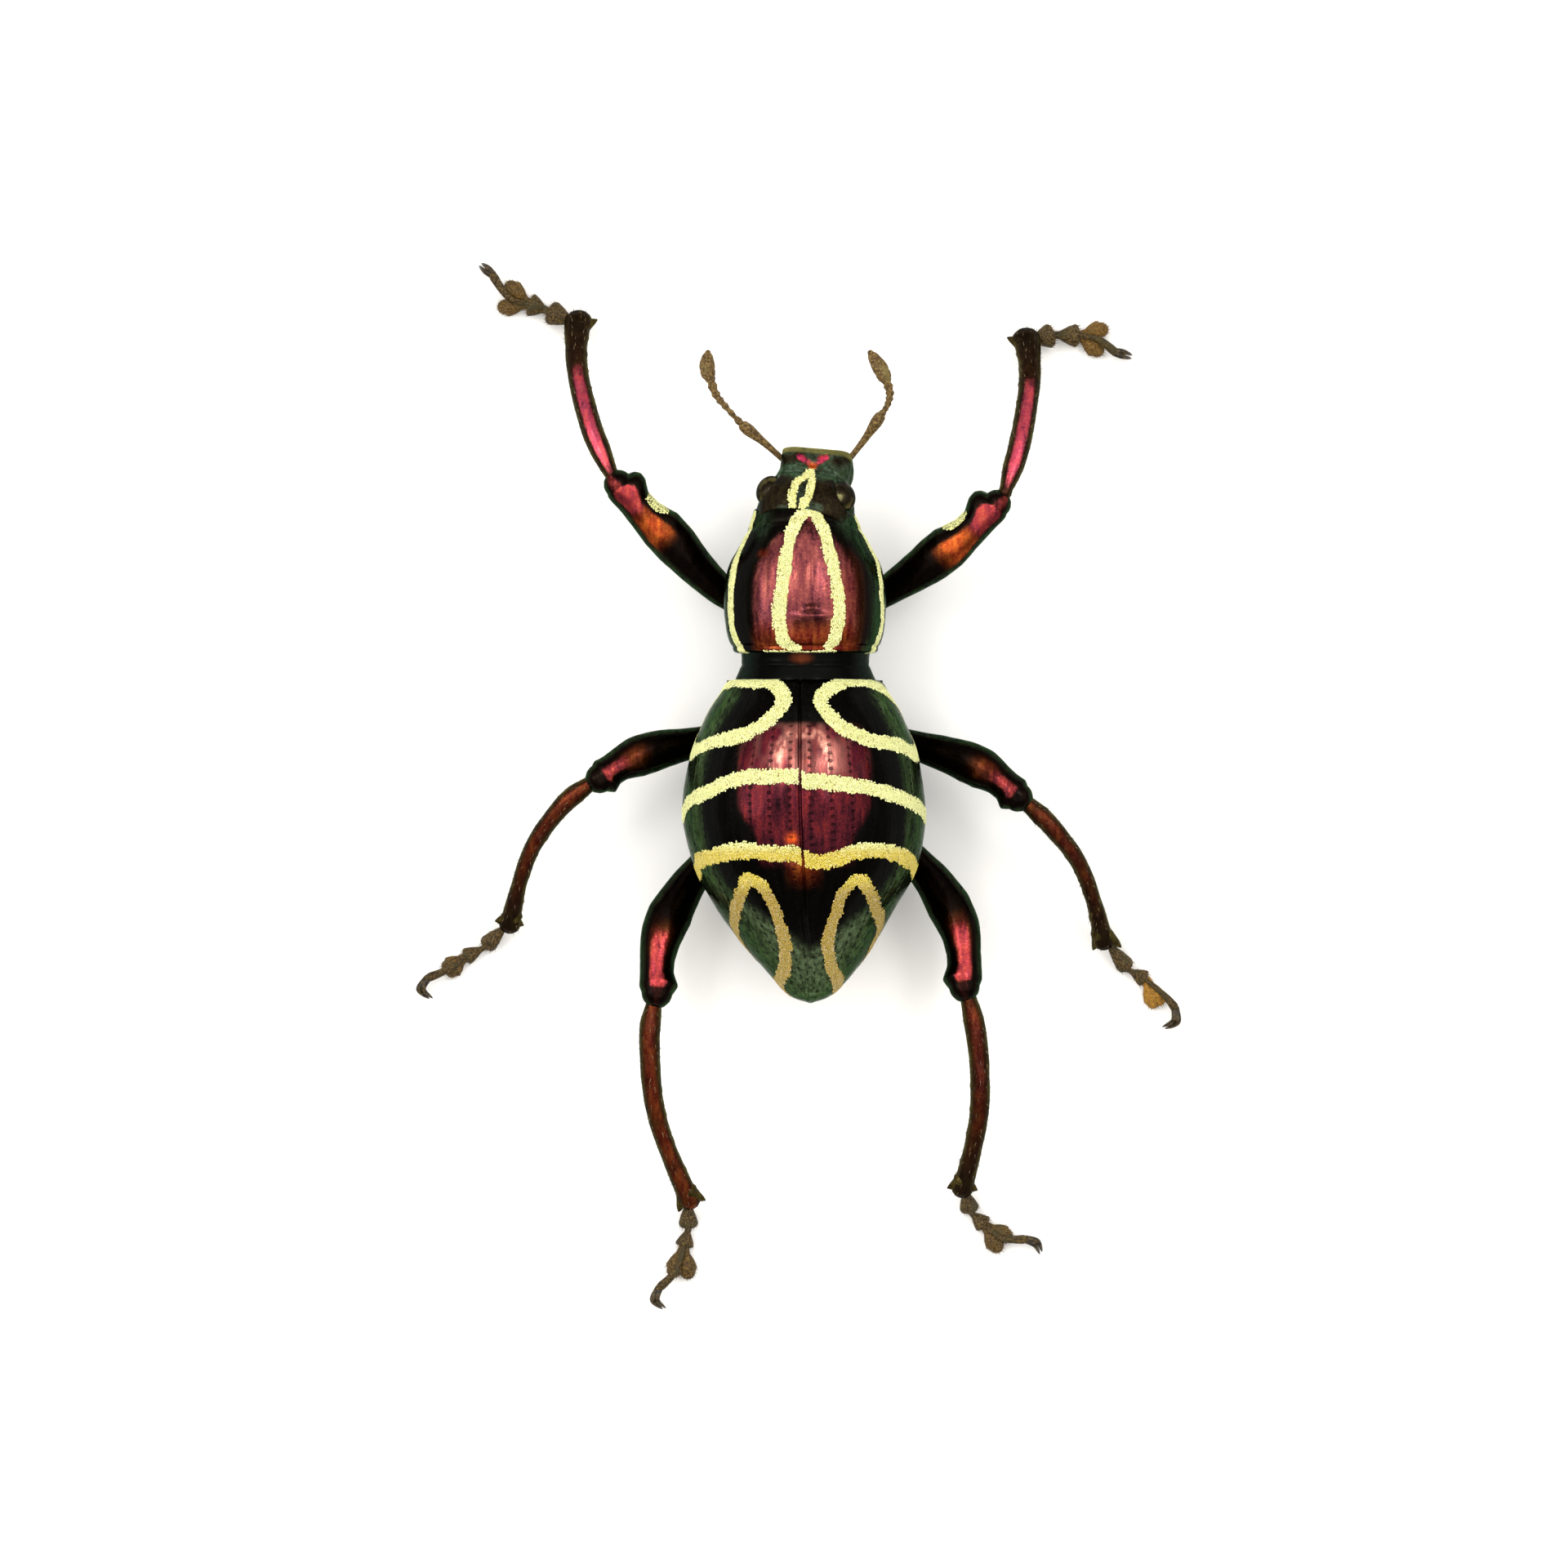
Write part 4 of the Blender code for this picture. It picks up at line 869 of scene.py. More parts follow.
# teal spots of the film's painted reflection beside the fork
TEAL_SPOTS = ((-0.14, 9.05, 0.20, 0.22), (0.73, 9.00, 0.20, 0.22))
# the eyes sit in shallow sockets
SOCKET_DEEP = 0.15
SOCKET_REACH = (0.60, 0.42)
EYE_CENTRE = (0.30, -0.06)
EYE_OUT = 1.30
EYE_RISE = math.radians(44.0)
EYE_SWEEP = math.radians(4.0)
EYE_AIMS = {
    side: Vector((sign * math.cos(EYE_SWEEP), math.sin(EYE_SWEEP), math.sin(EYE_RISE))).normalized()
    for side, sign in (("left", -1), ("right", 1))
}


def in_head(points):
    """Points of the head's own frame set in place."""
    turned = np.array(HEAD_PLACE.to_3x3())
    return points @ turned.T + np.array(HEAD_PLACE.translation)


head_at = sections(HEAD_STATIONS)
turn = ring_turn(200)
steps = np.linspace(0.0, 1.0, 150)
head_y = -0.55 + 2.66 * (0.4 * steps + 0.6 * np.sin(np.pi / 2 * steps))
centre, half_width, top, level, bottom = (value[:, None] for value in head_at(head_y))
square = (HEAD_SQUARENESS - 0.28 * step_between(1.2, 1.9, head_y))[:, None]
across, upright = (np.sign(wave(turn)) * np.abs(wave(turn)) ** square for wave in (np.cos, np.sin))
blunt = 0.93 + 0.07 * rounding(2.02, 0.12, head_y)[:, None]
rise = np.where(upright > 0, top - level, level - bottom)
local = rings(centre + half_width * across * blunt, head_y, level + rise * upright * blunt)
local_out = facing(local)
x, y, z = np.moveaxis(local, -1, 0)
on_back = step_between(0.2, 0.6, local_out[..., 2])
on_side = step_between(0.5, 0.9, np.abs(local_out[..., 0]))
root_groove = -0.06 * soft_line(y, 0.98, 0.10) * on_back
dip = -0.09 * soft_spot(x, y, *SNOUT_DIP) * on_back
front_rim = 0.05 * soft_line(y, 2.0, 0.09) * on_back
brow = 0.05 * soft_spot(np.abs(x), y, *BROW) * on_back
feeler_groove = -0.10 * soft_line(z - 0.35 * (y - 1.5), -0.1, 0.11)
feeler_groove = feeler_groove * step_between(0.9, 1.3, y) * step_between(2.0, 1.8, y) * on_side
wave = grain(local, 0.5, 21) * 0.012 + grain(local, 0.2, 22) * 0.006
local = local + local_out * (root_groove + dip + front_rim + feeler_groove + brow + wave)[..., None]
for aim in EYE_AIMS.values():
    eye_far = np.linalg.norm(local - np.array((0.0, *EYE_CENTRE)) - np.array(aim) * EYE_OUT, axis=-1)
    local = local - np.array(aim) * (SOCKET_DEEP * step_between(*SOCKET_REACH, eye_far))[..., None]
head_rows = in_head(local)
head_out = facing(head_rows)
head_gap = band_gaps(head_rows, HEAD_BANDS)
fork_far = np.where(head_out[..., 2] > 0.2, off_line(head_rows, FORK), 1.0)
head_rows = head_rows + head_out * (-FORK_DEEP * soft_line(fork_far, 0.0, 0.10))[..., None]
x, y = head_rows[..., 0], head_rows[..., 1]
local_x, local_y, local_z = np.moveaxis(local, -1, 0)
off_fork = np.abs(x - FORK_X)
# painted purple-red glint along the fork, with a painted orange glint at its foot
crown = step_between(0.135, 0.03, fork_far) * (0.55 + 0.45 * step_between(0.16, 0.32, off_fork))
warm = step_between(0.15, 0.03, fork_far) * step_between(0.16, 0.06, off_fork) * step_between(9.42, 9.30, y)
cheek_far = local_y + 0.28 * np.abs(local_x) - 0.17 + 0.22 * grain(head_rows, 0.30, 26)
dark_cheek = np.exp(-((np.abs(local_x) - 0.75) / 0.50) ** 4 - (cheek_far / 0.60) ** 4)
teal = sum(soft_spot(x, y, *spot) for spot in TEAL_SPOTS)
brown_front = soft_line(y, 9.47, 0.17) * on_back
flank = 0.50 - dark_cheek * 0.9 + teal * 0.60 - brown_front * 0.32 + grain(head_rows, 0.35, 24) * 0.50
flank = np.clip(flank, 0, 1) * (step_between(-0.9, 0.2, head_out[..., 2]) * 0.6 + 0.4)
# painted olive sheen along the snout's front edge
front_edge_sheen = step_between(1.78, 1.92, local_y) * step_between(0.2, 0.5, local_z)
front_edge_sheen *= np.clip(0.75 + 0.45 * grain(head_rows, 0.16, 25), 0, 1)
head_marks = {
    "crown": crown, "warm": warm, "flank": flank, "gap": head_gap, "tone": np.full(head_gap.shape, HEAD_TONE),
    "painted_sheen": front_edge_sheen,
}
head_chitin = chitin(
    "head_chitin", crown=(0.50, 0.035, 0.090), warm=(0.60, 0.10, 0.015), deep=(0.016, 0.0105, 0.0045),
    flank=(0.058, 0.092, 0.056), metal=0.92, rough=0.30, streak=1.6, cells=1.4, depth=0.000005, scaled=True,
    painted_sheen=(0.210, 0.190, 0.060),
)
head_shell = piece("head_shell", [shell(head_rows)], head_chitin, head_marks)
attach(head_shell, "root")
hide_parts("head", "rostrum")

# The eyes
# A low glossy brown-black dome of many small facets stands out of a shallow socket on each side of the head.
# A small painted olive highlight lies where each dome faces up.
EYE_SIZE = (0.45, 0.45, 0.36)
EYE_PAINTED_GLINT = {"left": 0.30, "right": 0.62}
eye_glass, tree, shader = blank_material("eye_facets")
place = object_place(tree)
inputs = {"Vector": place, "Scale": 27000.0, "Randomness": 0.35}
facets = add(tree, "ShaderNodeTexVoronoi", inputs).outputs["Distance"]
tint = noise_at(tree, place, 3000.0)
colour = blended(tree, eased(tree, facets, 0.0, 0.8), (0.026, 0.018, 0.008, 1.0), (0.006, 0.004, 0.002, 1.0))
colour = blended(tree, eased(tree, tint, 0.45, 0.7), colour, (0.075, 0.064, 0.020, 1.0))
# painted highlight where the glint mark asks for it
colour = blended(tree, mark_in(tree, "glint"), colour, (0.19, 0.18, 0.075, 1.0))
domes = sums(tree, "SUBTRACT", 1.0, facets)
set_surface(tree, shader, colour, eased(tree, tint, 0.3, 0.8, 0.16, 0.26), (domes, 0.000008, 0.7), {
    "Metallic": 0.9, "Specular Tint": (0.16, 0.17, 0.12, 1.0), "Specular IOR Level": 0.16,
    "Coat Weight": 0.10, "Coat Roughness": 0.05,
})


def egg(place, size, count, around):
    """A closed egg-shaped skin in a frame of its own, with its pole along the frame's third axis."""
    fall = np.linspace(0.02, np.pi - 0.02, count)[:, None]
    turn = ring_turn(around, 0.0)[None, :]
    rows = np.stack([size[0] * np.sin(fall) * np.cos(turn), size[1] * np.sin(fall) * np.sin(turn),
                     size[2] * np.cos(fall) * np.ones_like(turn)], axis=-1)
    return rows @ np.array(place.to_3x3()).T + np.array(place.translation)


for side, aim in EYE_AIMS.items():
    middle = HEAD_PLACE @ (Vector((0.0, *EYE_CENTRE)) + aim * EYE_OUT)
    outward = HEAD_PLACE.to_3x3() @ aim
    stand = Matrix.Translation(middle) @ outward.to_track_quat("Z", "Y").to_matrix().to_4x4()
    eye_rows = egg(stand, EYE_SIZE, 40, 56)
    glint = step_between(0.955, 0.998, facing(eye_rows)[..., 2]) * EYE_PAINTED_GLINT[side]
    eye = piece("eye_dome_" + side, [shell(eye_rows)], eye_glass, {"glint": glint})
    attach(eye, "root")
    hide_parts("eye_" + side)

# The jaws
# Two short blunt brown-black jaws close the mouth under the front edge of the snout.
JAW_PLACE = (0.27, 2.06, -0.34)
JAW_SIZE = (0.29, 0.22, 0.25)
jaw_chitin = chitin(
    "jaw_chitin", crown=(0.05, 0.02, 0.01), warm=(0.1, 0.03, 0.01), deep=(0.012, 0.006, 0.003),
    flank=(0.012, 0.006, 0.003), metal=0.7, rough=0.32,
)
jaw_skins = []
for sign in (-1, 1):
    stand = HEAD_PLACE @ Matrix.Translation((JAW_PLACE[0] * sign + 0.05, *JAW_PLACE[1:]))
    rows = egg(stand, JAW_SIZE, 26, 30)
    notch = np.abs(np.sin(rows[..., 2] * 17.0)) * 0.02
    jaw_skins.append(shell(rows + facing(rows) * notch[..., None]))
jaws = piece("jaws", jaw_skins, jaw_chitin)
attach(jaws, "root")

# The feelers
# Each feeler is a long first piece, seven small bead-like pieces and a club of three, of brown chitin under
# short pale hairs. It starts at the corner of the snout and turns at an elbow.
FEELERS = {
    "left": (
        ((-0.52, 9.50, 2.94), (-1.00, 9.93, 3.12), (-1.60, 10.41, 3.30)),
        ((-1.66, 10.46, 3.31), (-2.10, 10.94, 3.36), (-2.42, 11.34, 3.28), (-2.60, 11.84, 3.14)),
        ((-2.62, 11.80, 3.15), (-2.68, 12.16, 3.06), (-2.66, 12.56, 2.97)),
    ),
    "right": (
        ((1.48, 9.52, 2.94), (1.90, 10.06, 3.12), (2.32, 10.68, 3.30)),
        ((2.36, 10.74, 3.31), (2.54, 11.02, 3.34), (2.62, 11.38, 3.28), (2.51, 11.78, 3.17)),
        ((2.52, 11.74, 3.18), (2.35, 12.10, 3.08), (2.06, 12.56, 2.98)),
    ),
}
SCAPE_SIZES = ((0.0, 0.085), (0.3, 0.09), (0.6, 0.115), (0.85, 0.18), (1.0, 0.165))
CLUB_SIZES = ((0.0, 0.13), (0.15, 0.20), (0.33, 0.225), (0.36, 0.21), (0.5, 0.235), (0.66, 0.215),
              (0.69, 0.20), (0.85, 0.16), (1.0, 0.09))
BEADS = 7
BEAD_LENGTH = 0.93


def tube(path, sizes, steps, around, flat=1.0, stretch=(0.0, 1.0)):
    """Rings of changing thickness along a smooth path with rounded ends, and each one's share of the way."""
    shares = np.linspace(*stretch, steps)
    path = np.asarray(path, float)
    middles = through(path, shares * (len(path) - 1))
    marks, *columns = np.asarray(sizes, float).T
    read = [np.interp(shares, marks, column) for column in columns]
    radii = read[0]
    deep = read[1] if len(read) > 1 else radii * flat
    shift = read[2] if len(read) > 2 else radii * 0.0
    ahead = unit(np.gradient(middles, axis=0))
    ends = np.array([0.97, 0.8, 0.5, 0.25])
    start = middles[0] - ahead[0] * (ends * radii[0])[:, None]
    finish = middles[-1] + ahead[-1] * (ends[::-1] * radii[-1])[:, None]
    middles = np.vstack([start, middles, finish])
    ahead = np.vstack([np.repeat(ahead[:1], 4, axis=0), ahead, np.repeat(ahead[-1:], 4, axis=0)])

    def carried_on(values, fall=np.ones(4)):
        return np.concatenate([values[0] * fall, values, values[-1] * fall[::-1]])

    radii, deep = (carried_on(values, np.sqrt(1 - ends ** 2))[:, None, None] for values in (radii, deep))
    shift, shares = carried_on(shift)[:, None, None], carried_on(shares)[:, None]
    side = unit(np.cross(ahead, [0.0, 0.0, 1.0]))
    lift = np.cross(side, ahead)
    turn = ring_turn(around, 0.0)[None, :, None]
    rows = middles[:, None] + side[:, None] * (shift + radii * np.cos(turn))
    rows = rows + lift[:, None] * deep * np.sin(turn)
    return rows, np.broadcast_to(shares, rows.shape[:2])


feeler_chitin, tree, shader = blank_material("feeler_chitin")
place = object_place(tree)
fuzz = noise_at(tree, place, 15000.0, 5.0)
patches = noise_at(tree, place, 2200.0)
brown = blended(tree, eased(tree, fuzz, 0.35, 0.7), (0.042, 0.024, 0.009, 1.0), (0.20, 0.125, 0.042, 1.0))
brown = blended(tree, eased(tree, patches, 0.5, 0.8), brown, (0.16, 0.125, 0.042, 1.0))
roughness = eased(tree, fuzz, 0.2, 0.8, 0.42, 0.62)
set_surface(tree, shader, brown, roughness, (fuzz, 0.00001, 0.8), {"Specular IOR Level": 0.12})
feeler_skins = {}
for side, (scape, beads, club) in FEELERS.items():
    skins = [tube(scape, SCAPE_SIZES, 30, 26)[0]]
    for bead in range(BEADS):
        start, end = bead / BEADS, (bead + BEAD_LENGTH) / BEADS
        thick = 0.075 + 0.012 * bead + (0.03 if bead == 0 else 0.0)
        sizes = ((start, thick * 0.62), (start + 0.5 / BEADS, thick * 0.95),
                 (start + 0.75 / BEADS, thick * 1.12), (end, thick * 0.9))
        skins.append(tube(beads, sizes, 10, 18, stretch=(start, end))[0])
    skins.append(tube(club, CLUB_SIZES, 34, 28, flat=0.8)[0])
    feeler_skins[side] = skins
    feeler = piece("feeler_" + side, [shell(rows) for rows in skins], feeler_chitin)
    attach(feeler, "root")
    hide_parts("scape_" + side, "funicle_" + side, "club_" + side)

# The legs
# Six jointed legs of shining chitin. Each has a globe-like hip in the underside, a club-shaped thigh narrowed
# before the knee, and a curved shin with small teeth inside and a hooked spur at its end.
LEGS = {
    "front_left": (
        ((-0.62, 4.75, 1.50), (-2.27, 5.68, 1.95), (-3.92, 7.33, 2.62), (-5.28, 8.74, 3.05)),
        ((-5.40, 8.90, 3.08), (-6.04, 10.38, 2.55), (-6.47, 12.10, 1.62), (-6.55, 13.50, 0.80)),
    ),
    "front_right": (
        ((0.95, 4.75, 1.50), (2.56, 5.67, 1.95), (4.24, 6.82, 2.62), (5.74, 8.17, 3.05)),
        ((5.96, 8.50, 3.08), (6.40, 9.93, 2.55), (6.71, 11.71, 1.58), (6.72, 13.00, 0.80)),
    ),
    "mid_left": (
        ((-0.92, 1.82, 1.25), (-2.87, 1.30, 1.80), (-4.62, 0.90, 2.60), (-5.80, 0.22, 3.00)),
        ((-5.92, 0.16, 3.02), (-6.90, -0.60, 2.60), (-7.87, -1.99, 1.75), (-8.50, -4.02, 0.78)),
    ),
    "mid_right": (
        ((1.21, 1.82, 1.25), (3.39, 1.17, 1.80), (5.19, 0.57, 2.60), (6.36, -0.32, 3.00)),
        ((6.46, -0.40, 3.02), (7.32, -1.19, 2.60), (8.26, -2.49, 1.80), (8.93, -4.50, 0.78)),
    ),
    "hind_left": (
        ((-1.04, -0.55, 1.25), (-2.90, -2.42, 1.62), (-3.98, -4.22, 2.45), (-4.16, -6.02, 3.08)),
        ((-4.19, -6.14, 3.10), (-4.36, -7.50, 2.70), (-4.14, -9.70, 1.85), (-3.26, -12.08, 0.80)),
    ),
    "hind_right": (
        ((1.33, -0.55, 1.25), (3.31, -2.11, 1.62), (4.60, -3.98, 2.45), (4.80, -5.84, 3.08)),
        ((4.84, -5.96, 3.10), (5.16, -7.40, 2.70), (5.24, -9.50, 1.85), (4.81, -11.74, 0.80)),
    ),
}
# share of the length, half width, half depth, shift towards the inner side
THIGH_SIZES = {
    "front": ((0.0, 0.30, 0.32, 0), (0.30, 0.42, 0.42, 0), (0.45, 0.52, 0.50, 0), (0.60, 0.645, 0.58, 0.02),
              (0.69, 0.655, 0.60, 0.03), (0.78, 0.51, 0.54, -0.02), (0.84, 0.49, 0.53, 0.0),
              (0.90, 0.59, 0.55, 0.12), (0.94, 0.60, 0.53, 0.13), (0.975, 0.54, 0.50, 0.09),
              (1.0, 0.42, 0.45, 0.02)),
    "mid": ((0.0, 0.28, 0.30, 0), (0.30, 0.40, 0.40, 0), (0.45, 0.50, 0.48, 0), (0.60, 0.60, 0.55, 0.02),
            (0.70, 0.60, 0.56, 0.02), (0.81, 0.48, 0.50, 0.0), (0.87, 0.47, 0.50, 0.0),
            (0.94, 0.55, 0.52, 0.05), (1.0, 0.43, 0.45, 0.02)),
    "hind": ((0.0, 0.29, 0.31, 0), (0.30, 0.42, 0.42, 0), (0.45, 0.55, 0.50, 0), (0.58, 0.66, 0.58, 0.02),
             (0.68, 0.62, 0.58, 0.02), (0.81, 0.50, 0.52, 0.0), (0.87, 0.50, 0.52, 0.0),
             (0.94, 0.57, 0.54, 0.06), (1.0, 0.45, 0.47, 0.02)),
}
SHIN_SIZES = {
    "front": ((0.0, 0.20, 0.24, 0), (0.05, 0.20, 0.24, 0), (0.2, 0.31, 0.30, 0), (0.35, 0.325, 0.32, 0),
              (0.6, 0.31, 0.30, 0), (0.8, 0.325, 0.29, 0.02), (0.93, 0.38, 0.29, 0.06),
              (1.0, 0.42, 0.28, 0.10)),
    "mid": ((0.0, 0.25, 0.27, 0), (0.05, 0.21, 0.24, 0), (0.22, 0.295, 0.29, 0), (0.5, 0.255, 0.27, 0),
            (0.8, 0.225, 0.25, 0.01), (0.93, 0.27, 0.25, 0.03), (1.0, 0.31, 0.25, 0.05)),
    "hind": ((0.0, 0.27, 0.29, 0), (0.05, 0.22, 0.26, 0), (0.22, 0.31, 0.30, 0), (0.5, 0.29, 0.29, 0),
             (0.8, 0.265, 0.27, 0.01), (0.93, 0.29, 0.27, 0.03), (1.0, 0.33, 0.27, 0.05)),
}
THIGH_RINGS = (90, 44)
SHIN_RINGS = (90, 36)
HIP_SIZE = (0.58, 0.58, 0.52)
HIP_Z = {"front": 1.42, "mid": 1.10, "hind": 1.10}
# how far the two spurs reach to the sides, and their thickness
SPUR_REACH = {"front": 0.60, "mid": 0.40, "hind": 0.44}
SPUR_SIZES = ((0.0, 0.22), (0.45, 0.26), (0.75, 0.14), (1.0, 0.035))
OUTER_REACH = {"front": 0.26, "mid": 0.36, "hind": 0.36}
OUTER_SIZES = ((0.0, 0.15), (0.5, 0.19), (0.8, 0.12), (1.0, 0.04))
# how far the points of the inner and the outer spur lie beyond the shin's end, where it isn't the usual
SPUR_AHEAD = {"mid_left": (-0.06, 0.02), "mid_right": (0.20, 0.34), "hind_left": (0.17, 0.26)}
USUAL_AHEAD = (0.08, 0.0)
# where the painted highlight stripe of the thigh faces: on the front pair it lies a little to the rear
STRIPE_AIM = {"front": (0.0, -0.36, 0.93), "mid": (0.0, 0.0, 1.0), "hind": (0.0, 0.0, 1.0)}
STRIPE_LIMITS = {"front": (0.80, 0.95), "mid": (0.85, 0.97), "hind": (0.85, 0.97)}
# how strongly the painted highlight stripe (the crown) and its painted orange part show on each, and where
# along the thigh the stripe starts
THIGH_PAINTED_HIGHLIGHT = {"front": 1.0, "mid": 0.46, "hind": 0.88}
END_PAINTED_HIGHLIGHT = {"front": 0.4, "mid": 0.2, "hind": 0.2}
THIGH_WARM = {"front": 1.0, "mid": 0.12, "hind": 0.10}
PAINTED_HIGHLIGHT_FROM = {"front": 0.77, "mid": 0.72, "hind": 0.66}
SHIN_PAINTED_HIGHLIGHT = {"front": 1.0, "mid": 0.22, "hind": 0.28}
# how strongly the painted red-brown highlight stripe shows along the top of each shin
SHIN_WARM = {"front_left": 0.1, "front_right": 0.1, "mid_left": 0.75, "mid_right": 0.52, "hind_left": 0.84,
             "hind_right": 0.55}
WARM_LENGTHENED = {"hind_left": 0.25}
leg_chitin = chitin(
    "leg_chitin", crown=(0.28, 0.030, 0.034), warm=(0.44, 0.074, 0.014), deep=(0.0045, 0.0018, 0.001),
    flank=(0.026, 0.048, 0.019), rough=0.26, streak=1.1, cells=0.6,
)
# the shins are browner, with olive sides
shin_chitin = chitin(
    "shin_chitin", crown=(0.44, 0.052, 0.085), warm=(0.145, 0.024, 0.006), deep=(0.016, 0.008, 0.003),
    flank=(0.064, 0.047, 0.010), metal=0.9, rough=0.30, streak=1.1, cells=0.8,
)


def ridge_of(out, aim):
    """How near each point lies to the line of a limb that faces a given way: 1 on the line itself."""
    facing_aim = out @ np.array(aim)
    return facing_aim / np.maximum(facing_aim.max(axis=1, keepdims=True), 0.2)


def limb(path, sizes, turn_in, counts):
    """The rings of a thigh or a shin, with the way each point faces and its share of the length."""
    rows, shares = tube(path, np.array(sizes, float) * [1.0, 1.0, 1.0, turn_in], *counts)
    return rows, facing(rows), shares


leg_grids = {}
for leg, (thigh_path, shin_path) in LEGS.items():
    pair = leg.split("_")[0]
    side = -1 if "left" in leg else 1
    turn_in = -side if pair == "front" else side
    hip_middle = np.array([*thigh_path[0][:2], HIP_Z[pair] + 0.06])
    hip_rows = egg(Matrix.Translation(hip_middle.tolist()), HIP_SIZE, 26, 34)
    from_middle = hip_rows - hip_middle
    socket = np.clip(from_middle[..., 2:] / HIP_SIZE[2], 0, 1)
    hip_rows[..., :2] += from_middle[..., :2] * socket * 0.9
    hip_rows[..., 2:] += socket * 0.30
    hip = piece("hip_" + leg, [shell(hip_rows)], leg_chitin, {"flank": np.full(hip_rows.shape[:2], 0.4)})
    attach(hip, "root")
    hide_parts("coxa_" + leg)
    rows, out, shares = limb(thigh_path, THIGH_SIZES[pair], turn_in, THIGH_RINGS)
    rows = rows + out * (grain(rows, 0.5, 31) * 0.012 + grain(rows, 0.2, 32) * 0.004)[..., None]
    ridge = ridge_of(out, STRIPE_AIM[pair])
    mottle = grain(rows, 0.30, 34) * 0.5 + grain(rows, 0.12, 36) * 0.3
    # painted highlight stripe where the thigh faces up, with a painted orange part and olive-green flanks as
    # painted reflection
    crown = step_between(*STRIPE_LIMITS[pair], ridge) * THIGH_PAINTED_HIGHLIGHT[pair]
    crown *= step_between(PAINTED_HIGHLIGHT_FROM[pair], PAINTED_HIGHLIGHT_FROM[pair] + 0.10, shares)
    crown *= step_between(1.0, 0.96, shares) * (1 - END_PAINTED_HIGHLIGHT[pair]) + END_PAINTED_HIGHLIGHT[pair]
    warm = step_between(0.78, 0.93, ridge)
    warm = warm * step_between(0.62, 0.72, shares) * step_between(0.84, 0.76, shares)
    warm = np.clip(warm * (0.85 + 0.8 * mottle), 0, 1) * THIGH_WARM[pair]
    marks = {"crown": crown, "warm": warm, "flank": step_between(0.70, 0.30, out[..., 2]) * 0.9}
    thigh = piece("thigh_" + leg, [shell(rows)], leg_chitin, marks)
    leg_grids["thigh_" + leg] = (rows, out, shares)
    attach(thigh, "root")
    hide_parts("femur_" + leg)
    rows, out, shares = limb(shin_path, SHIN_SIZES[pair], turn_in, SHIN_RINGS)
    middle = rows.mean(axis=1, keepdims=True)
    inside = np.clip(np.sign(-side) * (rows - middle)[..., 0] / 0.25, 0, 1)
    teeth = np.maximum(0, np.sin(shares * 60.0)) ** 6 * inside * step_between(0.35, 0.6, shares) * 0.02
    rows = rows + out * (teeth + grain(rows, 0.4, 33) * 0.010)[..., None]
    # the shin's crown and warm marks are painted highlight stripes where it faces up
    ridge = ridge_of(out, (0.0, 0.0, 1.0))
    shin_painted_highlight = step_between(-0.10, 0.28, shares) * step_between(0.74, 0.52, shares)
    warm = step_between(0.68, 0.97, ridge) * SHIN_WARM[leg] * (0.8 + 0.5 * grain(rows, 0.3, 35))
    fade = WARM_LENGTHENED.get(leg, 0.0)
    marks = {
        "crown": [shin_painted_highlight * step_between(0.80, 0.96, ridge) * SHIN_PAINTED_HIGHLIGHT[pair]],
        "warm": [np.clip(warm * step_between(0.95 + fade, 0.60 + fade, shares), 0, 1)],
        "flank": [step_between(0.8, 0.3, ridge)],
    }
    end = np.array(shin_path[-1])
    ahead = unit(end - np.array(shin_path[-2]))
    inward = np.array([-side, 0.0, 0.0])
    inward = unit(inward - ahead * inward.dot(ahead))
    inner_ahead, outer_ahead = SPUR_AHEAD.get(leg, USUAL_AHEAD)
    spur_path = (end - ahead * 0.55, end + inward * SPUR_REACH[pair] * 0.38 - ahead * 0.16,
                 end + inward * SPUR_REACH[pair] * 1.05 + ahead * inner_ahead)
    outer_path = (end - ahead * 0.50, end - inward * 0.12 - ahead * 0.12,
                  end - inward * OUTER_REACH[pair] + ahead * outer_ahead)
    spurs = [tube(spur_path, SPUR_SIZES, 22, 20)[0], tube(outer_path, OUTER_SIZES, 16, 18)[0]]
    for key in marks:
        marks[key] += [np.full(spur.shape[:2], 0.6 if key == "flank" else 0.0) for spur in spurs]
    shin = piece("shin_" + leg, [shell(skin) for skin in (rows, *spurs)], shin_chitin, marks)
    leg_grids["shin_" + leg] = (rows, out, shares)
    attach(shin, "root")
    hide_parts("tibia_" + leg)

# The feet
# Each foot has two small wedge-shaped pieces, a broad one of two rounded lobes with a pale furry sole, and a
# slim last piece with two curved brown claws. The soles rest flat on the card.
FEET = {
    "front_left": ((-7.34, 13.87), (-7.93, 14.08), (-8.50, 14.27), (-8.98, 14.94), (-9.33, 15.24)),
    "front_right": ((7.42, 13.17), (8.20, 13.15), (8.74, 13.04), (9.22, 12.67), (9.72, 12.54)),
    "mid_left": ((-9.20, -4.73), (-9.80, -5.03), (-10.20, -5.34), (-10.86, -5.62), (-10.78, -6.22)),
    "mid_right": ((9.62, -5.38), (10.14, -5.68), (10.42, -6.28), (10.98, -6.50), (10.66, -7.08)),
    "hind_left": ((-3.24, -12.93), (-3.38, -13.50), (-3.46, -14.18), (-4.10, -14.68), (-3.96, -15.29)),
    "hind_right": ((5.00, -12.46), (5.44, -12.88), (5.88, -13.30), (6.62, -13.26), (7.06, -13.66)),
}
